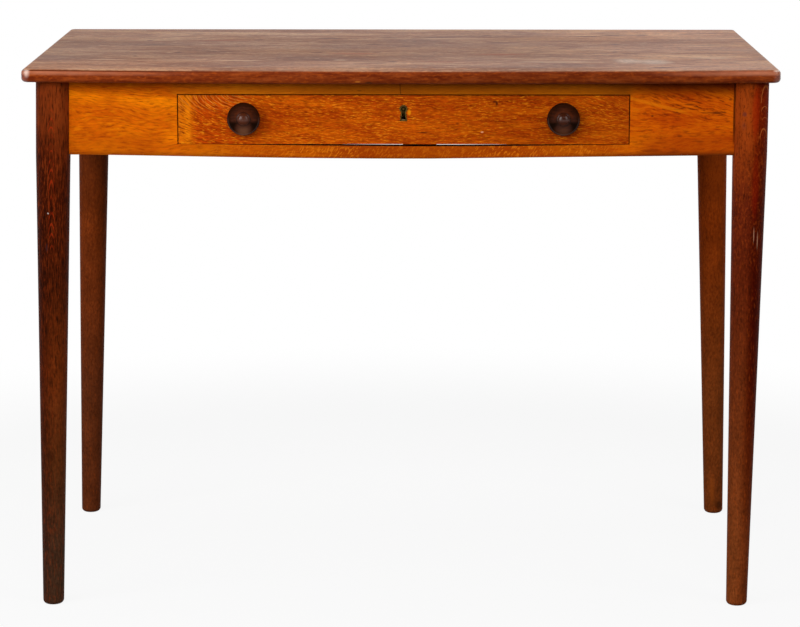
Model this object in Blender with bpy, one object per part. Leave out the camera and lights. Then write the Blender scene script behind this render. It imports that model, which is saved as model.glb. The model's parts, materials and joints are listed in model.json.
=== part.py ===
"""A writing desk with one drawer, on four round tapered legs. Metres, +Z up, the front towards -Y."""

import math

import bmesh
import bpy
from mathutils import Matrix, Vector

# Gap left between pieces that touch
FIT = 0.0003

# Top
DESK_HEIGHT = 0.737
TOP_WIDTH = 1.000
TOP_DEPTH = 0.580
TOP_THICKNESS = 0.0175
TOP_EDGE_RADIUS = 0.0055
TOP_CORNER_RADIUS = 0.009

# Legs: the insets run from a leg's axis to the edge of the top, at the top's underside
LEG_DIAMETER = 0.046
FOOT_DIAMETER = 0.0285
FOOT_ROUND = 0.006
LEG_INSET_SIDE = 0.0384
LEG_INSET_FRONT = 0.0377
LEG_SPLAY = math.radians(1.23)
# As the old desk stands: how far each leg has moved inwards at the aprons' lower edge, and its splay now
LEG_STANCES = {
    ("front", "left"): (0.0004, math.radians(1.13)),
    ("front", "right"): (-0.0010, math.radians(-0.425)),
    ("back", "left"): (0.0019, math.radians(1.435)),
    ("back", "right"): (0.0, math.radians(1.32)),
}
# The front right leg's joint has opened: the leg has turned this far about the apron's lower edge
LOOSE_LEG_TURN = math.radians(0.5)

# Aprons: the face of each stands this far out from the axes of its legs
APRON_HEIGHT = 0.0992
APRON_THICKNESS = 0.018
APRON_FORWARD = 0.008
TENON_THICKNESS = 0.009
TENON_SETBACK = 0.005
TENON_TOP_SHOULDER = 0.020
TENON_LOW_SHOULDER = 0.008
TENON_ROOT = 0.010
TENON_END_GAP = 0.0015

# Drawer opening in the front apron, and the sag of the lower and upper edges of the strip below it
UPPER_RAIL = 0.0184
LOWER_RAIL = 0.0140
RAIL_SAG = 0.005
OPENING_SAG = 0.0026
DRAWER_GAP = 0.0014
DRAWER_GAP_LOW = 0.0004

# Drawer box
DRAWER_WIDTH = 0.5982
DRAWER_OFFSET = 0.0036
DRAWER_FRONT_THICKNESS = 0.020
DRAWER_FRONT_LAP = 0.006
DRAWER_BACK_SPACE = 0.070
DRAWER_SIDE_THICKNESS = 0.012
DRAWER_SIDE_DROP = 0.006
DRAWER_BACK_THICKNESS = 0.010
DRAWER_BACK_DROP = 0.004
BOTTOM_THICKNESS = 0.005
BOTTOM_RISE = 0.006
GROOVE_DEPTH = 0.005
FRONT_TAILS = 3
BACK_TAILS = 2
TAIL_SHARE = 0.5
TAIL_FLARE = 0.0015

# Boards and strips that carry the drawer
CHEEK_THICKNESS = 0.018
CHEEK_RISE = 0.006
CHEEK_PLAY = 0.0035
HOUSING_DEPTH = 0.005
RUNNER_WIDTH = 0.020
RUNNER_HEIGHT = 0.012
KICKER_WIDTH = 0.020
KICKER_PLAY = 0.0015
CENTRE_RUNNER_WIDTH = 0.045
CENTRE_RUNNER_X = 0.0252
CENTRE_RUNNER_RISE = 0.0045
CENTRE_STUB_THICKNESS = 0.006
CENTRE_STUB_LENGTH = 0.006

# Buttons that hold the top
BUTTON_LENGTH = 0.028
BUTTON_WIDTH = 0.025
BUTTON_DROP = 0.009
BUTTON_TONGUE = 0.006
BUTTON_TONGUE_THICKNESS = 0.006
BUTTON_CLEARANCE = 0.001
BUTTON_SLOT_PLAY = 0.004
BACK_BUTTON_OFFSET = 0.200
SIDE_BUTTON_OFFSET = 0.130

# Screws: a flat head is twice as wide as its shank
WOOD_SCREW_DIAMETER = 0.0035
SMALL_SCREW_DIAMETER = 0.0025
KNOB_SCREW_DIAMETER = 0.004
KNOB_SCREW_HEAD_HEIGHT = 0.0022
TOP_SCREW_BITE = 0.009
RUNNER_SCREW_BITE = 0.012
RUNNER_SCREW_INSET = 0.080
KNOB_SCREW_BITE = 0.014
LOCK_SCREW_LENGTH = 0.009
BOTTOM_SCREW_BITE = 0.012
BOTTOM_SCREW_SPACING = 0.210
SCREW_SLOT_WIDTH = 0.0008
SCREW_SLOT_DEPTH = 0.0008

# Knobs
KNOB_INSET = 0.0874
KNOB_RAISE = 0.0023
KNOB_DIAMETER = 0.044
KNOB_STEM_DIAMETER = 0.020
KNOB_STEM_LENGTH = 0.009
KNOB_RIM = 0.006
KNOB_DOME = 0.004
KNOB_NUB_DIAMETER = 0.0155
KNOB_NUB_HEIGHT = 0.0055

# Keyhole and lock
KEYHOLE_DROP = 0.0181
ESCUTCHEON_HEAD = 0.0106
ESCUTCHEON_WAIST = 0.0066
ESCUTCHEON_FOOT = 0.0094
ESCUTCHEON_FOOT_DROP = 0.0161
ESCUTCHEON_WALL = 0.0013
ESCUTCHEON_DEPTH = 0.005
LOCK_PLATE_WIDTH = 0.056
LOCK_PLATE_HEIGHT = 0.040
LOCK_PLATE = 0.0015
LOCK_BOX_WIDTH = 0.036
LOCK_BOX_HEIGHT = 0.037
LOCK_BOX_DEPTH = 0.0095
LOCK_WALL = 0.0012
BOLT_WIDTH = 0.024
BOLT_HEIGHT = 0.0135
BOLT_THICKNESS = 0.004
BOLT_DEPTH = 0.0025
BOLT_RECESS = 0.0005
BOLT_TRAVEL = 0.007
BOLT_MORTISE_PLAY = 0.001
TALON_WIDTH = 0.006
TALON_HEIGHT = 0.003
PIN_DIAMETER = 0.0036
PIN_LENGTH = 0.014
SPRING_LENGTH = 0.022
SPRING_WIDTH = 0.005
SPRING_THICKNESS = 0.0005
SPRING_BOW = 0.002
SPRING_DROP = 0.007
LOCK_SCREW_INSET = 0.005
LOCK_SCREW_DROP = 0.008

# Fineness of the round shapes
LEG_SEGMENTS = 32
KNOB_SEGMENTS = 28
SCREW_SEGMENTS = 12
ARC_STEPS = 5
SAG_STEPS = 24
SMOOTH_ANGLE = math.radians(32)
CUT_OVERRUN = 0.002

# Finishes: colour, roughness, metallic
FINISHES = {
    "faded_brown_top": ((0.235, 0.128, 0.086), 0.45, 0.0),
    "red_brown_leg": ((0.120, 0.030, 0.010), 0.40, 0.0),
    "golden_oak": ((0.520, 0.190, 0.022), 0.42, 0.0),
    "orange_oak_drawer": ((0.470, 0.140, 0.014), 0.42, 0.0),
    "bare_softwood": ((0.560, 0.360, 0.190), 0.65, 0.0),
    "dark_turned_knob": ((0.035, 0.010, 0.005), 0.30, 0.0),
    "aged_brass": ((0.130, 0.090, 0.035), 0.45, 1.0),
    "steel_screw": ((0.330, 0.320, 0.310), 0.40, 1.0),
}

# Levels and planes worked out from the sizes above
UNDERSIDE = DESK_HEIGHT - TOP_THICKNESS
APRON_LOW = UNDERSIDE - APRON_HEIGHT
LEG_X = TOP_WIDTH / 2 - LEG_INSET_SIDE
LEG_Y = TOP_DEPTH / 2 - LEG_INSET_FRONT
LEG_RADIUS = LEG_DIAMETER / 2
APRON_FACE_Y = LEG_Y + APRON_FORWARD
APRON_FACE_X = LEG_X + APRON_FORWARD
APRON_INNER_Y = APRON_FACE_Y - APRON_THICKNESS
APRON_INNER_X = APRON_FACE_X - APRON_THICKNESS
TENON_END = TENON_SETBACK + TENON_THICKNESS - APRON_FORWARD + TENON_END_GAP
RAIL_HALF_SPAN = LEG_X - LEG_RADIUS


def sag(share, depth):
    """How far an edge that is fixed at both ends hangs, at a share of the way from its middle to an end."""
    return depth * max(0.0, 1.0 - share ** 2) ** 1.5


def rail_bottom(x):
    return APRON_LOW - sag(x / RAIL_HALF_SPAN, RAIL_SAG)


def rail_top(x):
    return APRON_LOW + LOWER_RAIL - sag((x - DRAWER_OFFSET) / (DRAWER_WIDTH / 2), OPENING_SAG)


DRAWER_LEFT = DRAWER_OFFSET - DRAWER_WIDTH / 2
DRAWER_RIGHT = DRAWER_OFFSET + DRAWER_WIDTH / 2
DRAWER_TOP = UNDERSIDE - UPPER_RAIL - DRAWER_GAP
DRAWER_LOW = APRON_LOW + LOWER_RAIL + DRAWER_GAP_LOW
DRAWER_FACE = -APRON_FACE_Y
DRAWER_FRONT_BACK = DRAWER_FACE + DRAWER_FRONT_THICKNESS
DRAWER_END = APRON_INNER_Y - DRAWER_BACK_SPACE
SIDE_TOP = DRAWER_TOP - DRAWER_SIDE_DROP
PANEL_LOW = DRAWER_LOW + BOTTOM_RISE
PANEL_TOP = PANEL_LOW + BOTTOM_THICKNESS
BACK_LOW = PANEL_TOP + FIT
BACK_TOP = SIDE_TOP - DRAWER_BACK_DROP
KEYHOLE_Z = DRAWER_TOP - KEYHOLE_DROP
KNOB_Z = (DRAWER_TOP + DRAWER_LOW) / 2 + KNOB_RAISE


def clear_scene():
    for old in list(bpy.data.objects):
        bpy.data.objects.remove(old)


def finish_material(name):
    """The Principled material of a finish, made the first time it is asked for."""
    material = bpy.data.materials.get(name)
    if material is None:
        colour, roughness, metallic = FINISHES[name]
        material = bpy.data.materials.new(name)
        material.use_nodes = True
        shader = material.node_tree.nodes["Principled BSDF"]
        shader.inputs["Base Color"].default_value = (*colour, 1.0)
        shader.inputs["Roughness"].default_value = roughness
        shader.inputs["Metallic"].default_value = metallic
    return material


# Shapes, as meshes in world coordinates


def block(corner, opposite, grow=0.0):
    """A box between any two opposite corners, larger by grow on every side."""
    low = Vector([min(pair) - grow for pair in zip(corner, opposite)])
    high = Vector([max(pair) + grow for pair in zip(corner, opposite)])
    shape = bmesh.new()
    place = Matrix.Translation((low + high) / 2) @ Matrix.Diagonal(high - low).to_4x4()
    bmesh.ops.create_cube(shape, size=1.0, matrix=place)
    return shape


def prism(outline, axis, start, end):
    """An outline swept along an axis. Its points hold the other two coordinates, in X, Y, Z order."""
    index = "XYZ".index(axis)

    def point(pair, along):
        values = list(pair)
        values.insert(index, along)
        return Vector(values)

    low, high = sorted((start, end))
    shape = bmesh.new()
    face = shape.faces.new([shape.verts.new(point(pair, low)) for pair in outline])
    swept = bmesh.ops.extrude_face_region(shape, geom=[face])["geom"]
    moved = [item for item in swept if isinstance(item, bmesh.types.BMVert)]
    bmesh.ops.translate(shape, vec=point((0.0, 0.0), high - low), verts=moved)
    bmesh.ops.recalc_face_normals(shape, faces=shape.faces)
    return shape


def turned(profile, segments):
    """A profile of radius and height, from the axis at the bottom to the axis at the top, spun round Z."""
    shape = bmesh.new()
    points = [shape.verts.new((radius, 0.0, height)) for radius, height in profile]
    edges = [shape.edges.new(pair) for pair in zip(points, points[1:])]
    bmesh.ops.spin(
        shape, geom=points + edges, axis=(0, 0, 1), cent=(0, 0, 0), dvec=(0, 0, 0),
        angle=math.tau, steps=segments, use_merge=True,
    )
    bmesh.ops.remove_doubles(shape, verts=shape.verts, dist=1e-6)
    bmesh.ops.recalc_face_normals(shape, faces=shape.faces)
    return shape


def moved(shape, matrix):
    bmesh.ops.transform(shape, matrix=matrix, verts=shape.verts)
    return shape


def arc(centre, radius, start, end, steps=ARC_STEPS):
    """Points along an arc, both ends included."""
    turns = [start + (end - start) * step / steps for step in range(steps + 1)]
    return [(centre[0] + radius * math.cos(t), centre[1] + radius * math.sin(t)) for t in turns]


def piece(name, shape, finish, origin=None):
    """A named object from a shape, with its origin at a point or in the middle of its box."""
    if origin is None:
        reach = [[vert.co[axis] for vert in shape.verts] for axis in range(3)]
        origin = [(min(values) + max(values)) / 2 for values in reach]
    moved(shape, Matrix.Translation(-Vector(origin)))
    mesh = bpy.data.meshes.new(name)
    shape.to_mesh(mesh)
    shape.free()
    if finish:
        mesh.materials.append(finish_material(finish))
    made = bpy.data.objects.new(name, mesh)
    made.location = origin
    bpy.context.scene.collection.objects.link(made)
    return made


def combine(target, shape, operation):
    """Cut a shape from a piece, or join it on, and keep the result as the piece's own mesh."""
    tool = piece("tool", shape, None, (0.0, 0.0, 0.0))
    step = target.modifiers.new(operation.lower(), "BOOLEAN")
    step.operation = operation
    step.object = tool
    view = bpy.context.evaluated_depsgraph_get()
    mesh = bpy.data.meshes.new_from_object(target.evaluated_get(view))
    target.modifiers.clear()
    before = target.data
    target.data = mesh
    bpy.data.meshes.remove(before)
    mesh.name = target.name
    tool_mesh = tool.data
    bpy.data.objects.remove(tool)
    bpy.data.meshes.remove(tool_mesh)


def cut(target, shape):
    combine(target, shape, "DIFFERENCE")


def join(target, shape):
    combine(target, shape, "UNION")


# Screws


def flat_screw_profile(diameter, length, grow, above):
    """A countersunk screw with its head at height 0, or the hole that clears it."""
    shank = diameter / 2 + grow
    head = diameter + grow
    neck = -diameter / 2
    tip = -length - 2 * grow
    profile = [(0.0, tip), (shank, tip + diameter), (shank, neck), (head, 0.0)]
    if above:
        profile.append((head, above))
    return profile + [(0.0, above)]


def round_screw_profile(diameter, length):
    """A domed head that stands on the surface at height 0, over a plain shank."""
    shank = diameter / 2
    head = diameter
    high = KNOB_SCREW_HEAD_HEIGHT
    dome = [(head * math.cos(t), FIT + high * math.sin(t)) for t in (0.0, math.pi / 6, math.pi / 3)]
    return [(0.0, -length), (shank, diameter - length), (shank, FIT)] + dome + [(0.0, FIT + high)]


def aimed(shape, point, direction):
    """A shape whose height runs against a direction, set at a point."""
    turn = Vector((0, 0, -1)).rotation_difference(Vector(direction)).to_matrix().to_4x4()
    return moved(shape, Matrix.Translation(point) @ turn)


def drive_slot(diameter, surface):
    reach = 2 * diameter
    width = SCREW_SLOT_WIDTH / 2
    return block((-reach, -width, surface - SCREW_SLOT_DEPTH), (reach, width, surface + CUT_OVERRUN))


def flat_screw(name, point, direction, length, diameter, through):
    """A countersunk screw driven from a point on a surface, and its hole in each piece it goes through."""
    seat = Vector(point) + Vector(direction) * FIT
    profile = flat_screw_profile(diameter, length, 0.0, 0.0)
    made = piece(name, aimed(turned(profile, SCREW_SEGMENTS), seat, direction), "steel_screw", seat)
    cut(made, aimed(drive_slot(diameter, 0.0), seat, direction))
    for wood in through:
        hole = flat_screw_profile(diameter, length, FIT, CUT_OVERRUN)
        cut(wood, aimed(turned(hole, SCREW_SEGMENTS), seat, direction))
    return made


def round_screw(name, point, direction, length, diameter, through):
    """A round-headed screw, and its plain hole in each piece it goes through."""
    shape = turned(round_screw_profile(diameter, length), SCREW_SEGMENTS)
    made = piece(name, aimed(shape, point, direction), "steel_screw", point)
    cut(made, aimed(drive_slot(diameter, FIT + KNOB_SCREW_HEAD_HEIGHT), point, direction))
    radius = diameter / 2 + FIT
    for wood in through:
        hole = [(0.0, -length - FIT), (radius, -length - FIT), (radius, CUT_OVERRUN), (0.0, CUT_OVERRUN)]
        cut(wood, aimed(turned(hole, SCREW_SEGMENTS), point, direction))
    return made


# Top


def make_top():
    shape = block(
        (-TOP_WIDTH / 2, -TOP_DEPTH / 2, UNDERSIDE), (TOP_WIDTH / 2, TOP_DEPTH / 2, DESK_HEIGHT)
    )
    upright = [edge for edge in shape.edges if abs(edge.verts[0].co.z - edge.verts[1].co.z) > FIT]
    bmesh.ops.bevel(
        shape, geom=upright, offset=TOP_CORNER_RADIUS, segments=ARC_STEPS, profile=0.5,
        affect="EDGES", material=-1,
    )
    middle = (UNDERSIDE + DESK_HEIGHT) / 2
    rims = [edge for edge in shape.edges
            if (edge.verts[0].co.z - middle) * (edge.verts[1].co.z - middle) > 0.0]
    bmesh.ops.bevel(
        shape, geom=rims, offset=TOP_EDGE_RADIUS, segments=ARC_STEPS, profile=0.5,
        affect="EDGES", material=-1,
    )
    return piece("top", shape, "faded_brown_top", (0.0, 0.0, UNDERSIDE))


# Legs and aprons: side is -1 on the left and 1 on the right, end is -1 at the front and 1 at the back


def leg_line(side, end, turn=0.0):
    """Where a leg's axis meets the floor, and how it moves across as it rises, or did before a turn."""
    stance = "back" if end > 0 else "front", "right" if side > 0 else "left"
    inwards, splay = LEG_STANCES[stance]
    slope = math.tan(splay + turn)
    at_apron = LEG_X + math.tan(LEG_SPLAY) * APRON_HEIGHT - inwards
    return side * (at_apron + slope * APRON_LOW), -side * slope


def leaning(shape, line, y):
    """A shape turned about Z, leaned along a leg's axis with its level sections kept level."""
    foot, slope = line
    lean = Matrix.Identity(4)
    lean[0][2] = slope
    return moved(shape, Matrix.Translation((foot, y, 0.0)) @ lean)


def leg_profile():
    foot = FOOT_DIAMETER / 2
    corner = arc((foot - FOOT_ROUND, FOOT_ROUND), FOOT_ROUND, -math.pi / 2, 0.0)
    head = UNDERSIDE - FIT
    return [(0.0, 0.0)] + corner + [(LEG_RADIUS, APRON_LOW), (LEG_RADIUS, head), (0.0, head)]


def scribe(side, end, turn=0.0):
    """The upper part of a leg with its gap, which shapes the ends of the aprons."""
    radius = LEG_RADIUS + FIT
    low = APRON_LOW - RAIL_SAG - CUT_OVERRUN
    high = UNDERSIDE + CUT_OVERRUN
    profile = [(0.0, low), (radius, low), (radius, high), (0.0, high)]
    return leaning(turned(profile, LEG_SEGMENTS), leg_line(side, end, turn), end * LEG_Y)


def cross_tenon(side, end, grow=0.0):
    """The tenon of the front or back apron in one leg."""
    outer = APRON_FACE_Y - TENON_SETBACK
    root = RAIL_HALF_SPAN - TENON_ROOT
    return block(
        (side * (LEG_X - TENON_END), end * outer, APRON_LOW + TENON_LOW_SHOULDER),
        (side * root, end * (outer - TENON_THICKNESS), UNDERSIDE - TENON_TOP_SHOULDER),
        grow,
    )


def side_tenon(side, end, grow=0.0):
    """The tenon of a side apron in one leg."""
    outer = APRON_FACE_X - TENON_SETBACK
    root = LEG_Y - LEG_RADIUS - TENON_ROOT
    return block(
        (side * outer, end * (LEG_Y - TENON_END), APRON_LOW + TENON_LOW_SHOULDER),
        (side * (outer - TENON_THICKNESS), end * root, UNDERSIDE - TENON_TOP_SHOULDER),
        grow,
    )


def is_loose(side, end):
    return side > 0 and end < 0


def make_leg(name, side, end):
    line = leg_line(side, end)
    shape = leaning(turned(leg_profile(), LEG_SEGMENTS), line, end * LEG_Y)
    leg = piece(name, shape, "red_brown_leg", (line[0], end * LEG_Y, 0.0))
    cut(leg, cross_tenon(side, end, FIT))
    cut(leg, side_tenon(side, end, FIT))
    return leg


def make_front_apron():
    xs = [-LEG_X + 2 * LEG_X * step / SAG_STEPS for step in range(SAG_STEPS + 1)]
    head = UNDERSIDE - FIT
    outline = [(-LEG_X, head)] + [(x, rail_bottom(x)) for x in xs] + [(LEG_X, head)]
    shape = prism(outline, "Y", -APRON_FACE_Y, -APRON_INNER_Y)
    apron = piece("front_apron", shape, "golden_oak")
    for side in (-1, 1):
        cut(apron, scribe(side, -1))
        if is_loose(side, -1):
            cut(apron, scribe(side, -1, LOOSE_LEG_TURN))
        join(apron, cross_tenon(side, -1))
    left, right = DRAWER_LEFT - DRAWER_GAP, DRAWER_RIGHT + DRAWER_GAP
    high = DRAWER_TOP + DRAWER_GAP
    xs = [left + (right - left) * step / SAG_STEPS for step in range(SAG_STEPS + 1)]
    opening = [(left, high)] + [(x, rail_top(x)) for x in xs] + [(right, high)]
    cut(apron, prism(opening, "Y", -APRON_FACE_Y - CUT_OVERRUN, -APRON_INNER_Y + CUT_OVERRUN))
    return apron


def make_back_apron():
    shape = block(
        (-LEG_X, APRON_INNER_Y, APRON_LOW), (LEG_X, APRON_FACE_Y, UNDERSIDE - FIT)
    )
    apron = piece("back_apron", shape, "golden_oak")
    for side in (-1, 1):
        cut(apron, scribe(side, 1))
        join(apron, cross_tenon(side, 1))
    return apron


def make_side_apron(name, side):
    shape = block(
        (side * APRON_INNER_X, -LEG_Y, APRON_LOW), (side * APRON_FACE_X, LEG_Y, UNDERSIDE - FIT)
    )
    apron = piece(name, shape, "golden_oak")
    for end in (-1, 1):
        cut(apron, scribe(side, end))
        join(apron, side_tenon(side, end))
    return apron


# Boards and strips round the drawer


def make_cheek(name, side, aprons):
    """A board beside the drawer, housed in the front and back aprons."""
    inner = (DRAWER_RIGHT if side > 0 else DRAWER_LEFT) + side * CHEEK_PLAY
    reach = APRON_INNER_Y + HOUSING_DEPTH - FIT
    corners = (
        (inner, -reach, APRON_LOW + CHEEK_RISE),
        (inner + side * CHEEK_THICKNESS, reach, UNDERSIDE - FIT),
    )
    cheek = piece(name, block(*corners), "bare_softwood")
    for apron in aprons:
        cut(apron, block((corners[0][0], -reach, corners[0][2]),
                         (corners[1][0], reach, UNDERSIDE + CUT_OVERRUN), FIT))
    return cheek, inner


def make_runner(name, side, inner, cheek):
    """The strip that carries a side of the drawer, screwed to the cheek."""
    top = DRAWER_LOW - FIT
    near = inner - side * FIT
    far = inner - side * RUNNER_WIDTH
    reach = APRON_INNER_Y - FIT
    front = DRAWER_FRONT_BACK + FIT
    runner = piece(name, block((near, front, top - RUNNER_HEIGHT), (far, reach, top)), "bare_softwood")
    for number, y in enumerate((front + RUNNER_SCREW_INSET, reach - RUNNER_SCREW_INSET), start=1):
        flat_screw(
            f"{name}_screw_{number}", (far, y, top - RUNNER_HEIGHT / 2), (side, 0, 0),
            RUNNER_WIDTH + RUNNER_SCREW_BITE, WOOD_SCREW_DIAMETER, (runner, cheek),
        )
    return runner


def make_kicker(name, side, inner, top_board):
    """The strip over a side of the drawer, screwed up into the top."""
    low = SIDE_TOP + KICKER_PLAY
    high = UNDERSIDE - FIT
    near = inner - side * FIT
    far = inner - side * KICKER_WIDTH
    reach = APRON_INNER_Y - FIT
    front = DRAWER_FRONT_BACK + FIT
    kicker = piece(name, block((near, front, low), (far, reach, high)), "bare_softwood")
    for number, y in enumerate((front + RUNNER_SCREW_INSET, reach - RUNNER_SCREW_INSET), start=1):
        flat_screw(
            f"{name}_screw_{number}", ((near + far) / 2, y, low), (0, 0, 1),
            high - low + TOP_SCREW_BITE, WOOD_SCREW_DIAMETER, (kicker, top_board),
        )
    return kicker


def make_centre_runner(front_apron, back_apron):
    """The wide strip under the drawer's bottom, whose front end stops the drawer."""
    low = rail_bottom(CENTRE_RUNNER_X) + CENTRE_RUNNER_RISE
    high = PANEL_LOW - FIT
    stub = low + CENTRE_STUB_THICKNESS
    reach = APRON_INNER_Y - FIT
    tip = APRON_INNER_Y + CENTRE_STUB_LENGTH
    front = DRAWER_FRONT_BACK + FIT
    outline = [(-tip, low), (tip, low), (tip, stub), (reach, stub), (reach, high), (front, high),
               (front, stub), (-tip, stub)]
    left = CENTRE_RUNNER_X - CENTRE_RUNNER_WIDTH / 2
    right = CENTRE_RUNNER_X + CENTRE_RUNNER_WIDTH / 2
    runner = piece("centre_runner", prism(outline, "X", left, right), "bare_softwood")
    for apron in (front_apron, back_apron):
        cut(apron, block((left, -tip, low), (right, tip, stub), FIT))
    return runner


# Buttons that hold the top


def make_button(name, apron, top_board, point, turn):
    """A wooden button with its tongue in a slot of the apron. Its local X runs inwards from the apron."""
    low = -BUTTON_DROP - BUTTON_TONGUE_THICKNESS
    outline = [(BUTTON_CLEARANCE, -FIT), (BUTTON_LENGTH, -FIT), (BUTTON_LENGTH, low), (-BUTTON_TONGUE, low),
               (-BUTTON_TONGUE, -BUTTON_DROP), (BUTTON_CLEARANCE, -BUTTON_DROP)]
    place = Matrix.Translation((*point, UNDERSIDE)) @ Matrix.Rotation(turn, 4, "Z")
    half = BUTTON_WIDTH / 2
    button = piece(name, moved(prism(outline, "Y", -half, half), place), "bare_softwood")
    slot_half = half + BUTTON_SLOT_PLAY
    slot = block((-BUTTON_TONGUE - FIT, -slot_half, low - FIT), (CUT_OVERRUN, slot_half, FIT - BUTTON_DROP))
    cut(apron, moved(slot, place))
    flat_screw(
        f"{name}_screw", place @ Vector((BUTTON_LENGTH / 2, 0.0, low)), (0, 0, 1),
        TOP_SCREW_BITE - low, WOOD_SCREW_DIAMETER, (button, top_board),
    )
    return button


def make_buttons(aprons, top_board):
    for name, side in (("left", -1), ("right", 1)):
        turn = math.pi if side > 0 else 0.0
        for end_name, end in (("front", -1), ("back", 1)):
            point = (side * APRON_INNER_X, end * SIDE_BUTTON_OFFSET)
            make_button(f"{name}_{end_name}_button", aprons[name], top_board, point, turn)
        point = (side * BACK_BUTTON_OFFSET, APRON_INNER_Y)
        make_button(f"back_{name}_button", aprons["back"], top_board, point, -math.pi / 2)


# Drawer


def tails(shoulder, tip, low, high, count, grow=0.0):
    """The corners of a row of dovetails, one list for each tail, from the lowest up."""
    pitch = (high - low) / count
    narrow = pitch * TAIL_SHARE / 2 + grow
    wide = narrow + TAIL_FLARE
    middles = [low + pitch * (index + 0.5) for index in range(count)]
    return [
        [(shoulder, m - narrow), (tip, m - wide), (tip, m + wide), (shoulder, m + narrow)]
        for m in middles
    ]


def tail_cut(tail, overrun):
    """A tail's outline carried on past its shoulder, so that it cuts clean through the face."""
    (shoulder, low), *_, (_, high) = tail
    return tail + [(shoulder + overrun, high), (shoulder + overrun, low)]


FRONT_TAIL_TIP = DRAWER_FACE + DRAWER_FRONT_LAP
BACK_SHOULDER = DRAWER_END - DRAWER_BACK_THICKNESS


def make_drawer_side(name, side):
    """A side with tails let into the drawer front, and tails round the pins of the drawer back."""
    front_tails = tails(DRAWER_FRONT_BACK + FIT, FRONT_TAIL_TIP + FIT, DRAWER_LOW, SIDE_TOP, FRONT_TAILS)
    back_tails = tails(BACK_SHOULDER - FIT, DRAWER_END, BACK_LOW, BACK_TOP, BACK_TAILS)
    outline = [(DRAWER_FRONT_BACK + FIT, DRAWER_LOW), (DRAWER_END, DRAWER_LOW)]
    outline += [(DRAWER_END, BACK_LOW - FIT), (BACK_SHOULDER - FIT, BACK_LOW - FIT)]
    for tail in back_tails:
        outline += tail
    outline += [(BACK_SHOULDER - FIT, BACK_TOP + FIT), (DRAWER_END, BACK_TOP + FIT)]
    outline += [(DRAWER_END, SIDE_TOP), (DRAWER_FRONT_BACK + FIT, SIDE_TOP)]
    for tail in reversed(front_tails):
        outline += reversed(tail)
    outer = DRAWER_RIGHT if side > 0 else DRAWER_LEFT
    inner = outer - side * DRAWER_SIDE_THICKNESS
    board = piece(name, prism(outline, "X", outer, inner), "bare_softwood")
    cut(board, block(
        (inner + side * GROOVE_DEPTH, FRONT_TAIL_TIP - CUT_OVERRUN, PANEL_LOW - FIT),
        (inner - side * CUT_OVERRUN, DRAWER_END + CUT_OVERRUN, PANEL_TOP + FIT),
    ))
    return board


def make_drawer_front():
    shape = block(
        (DRAWER_LEFT, DRAWER_FACE, DRAWER_LOW), (DRAWER_RIGHT, DRAWER_FRONT_BACK, DRAWER_TOP)
    )
    front = piece("drawer_front", shape, "orange_oak_drawer")
    sockets = tails(DRAWER_FRONT_BACK, FRONT_TAIL_TIP, DRAWER_LOW, SIDE_TOP, FRONT_TAILS, FIT)
    for outer, side in ((DRAWER_LEFT, -1), (DRAWER_RIGHT, 1)):
        inner = outer - side * (DRAWER_SIDE_THICKNESS + FIT)
        for socket in sockets:
            cut(front, prism(tail_cut(socket, CUT_OVERRUN), "X", outer + side * CUT_OVERRUN, inner))
    reach = DRAWER_WIDTH / 2 - DRAWER_SIDE_THICKNESS + GROOVE_DEPTH
    cut(front, block(
        (DRAWER_OFFSET - reach, DRAWER_FRONT_BACK - GROOVE_DEPTH, PANEL_LOW - FIT),
        (DRAWER_OFFSET + reach, DRAWER_FRONT_BACK + CUT_OVERRUN, PANEL_TOP + FIT),
    ))
    return front


def make_drawer_back():
    shape = block((DRAWER_LEFT, BACK_SHOULDER, BACK_LOW), (DRAWER_RIGHT, DRAWER_END, BACK_TOP))
    back = piece("drawer_back", shape, "bare_softwood")
    sockets = tails(BACK_SHOULDER - FIT, DRAWER_END + FIT, BACK_LOW, BACK_TOP, BACK_TAILS, FIT)
    for outer, side in ((DRAWER_LEFT, -1), (DRAWER_RIGHT, 1)):
        inner = outer - side * (DRAWER_SIDE_THICKNESS + FIT)
        for socket in sockets:
            cut(back, prism(tail_cut(socket, -CUT_OVERRUN), "X", outer + side * CUT_OVERRUN, inner))
    return back


def make_drawer_bottom(back):
    reach = DRAWER_WIDTH / 2 - DRAWER_SIDE_THICKNESS + GROOVE_DEPTH - FIT
    panel = piece("drawer_bottom", block(
        (DRAWER_OFFSET - reach, DRAWER_FRONT_BACK - GROOVE_DEPTH + FIT, PANEL_LOW),
        (DRAWER_OFFSET + reach, DRAWER_END, PANEL_TOP),
    ), "bare_softwood")
    y = DRAWER_END - DRAWER_BACK_THICKNESS / 2
    for number, place in enumerate((-1, 0, 1), start=1):
        flat_screw(
            f"drawer_bottom_screw_{number}", (DRAWER_OFFSET + place * BOTTOM_SCREW_SPACING, y, PANEL_LOW),
            (0, 0, 1), BOTTOM_THICKNESS + BOTTOM_SCREW_BITE, SMALL_SCREW_DIAMETER, (panel, back),
        )
    return panel


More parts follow.
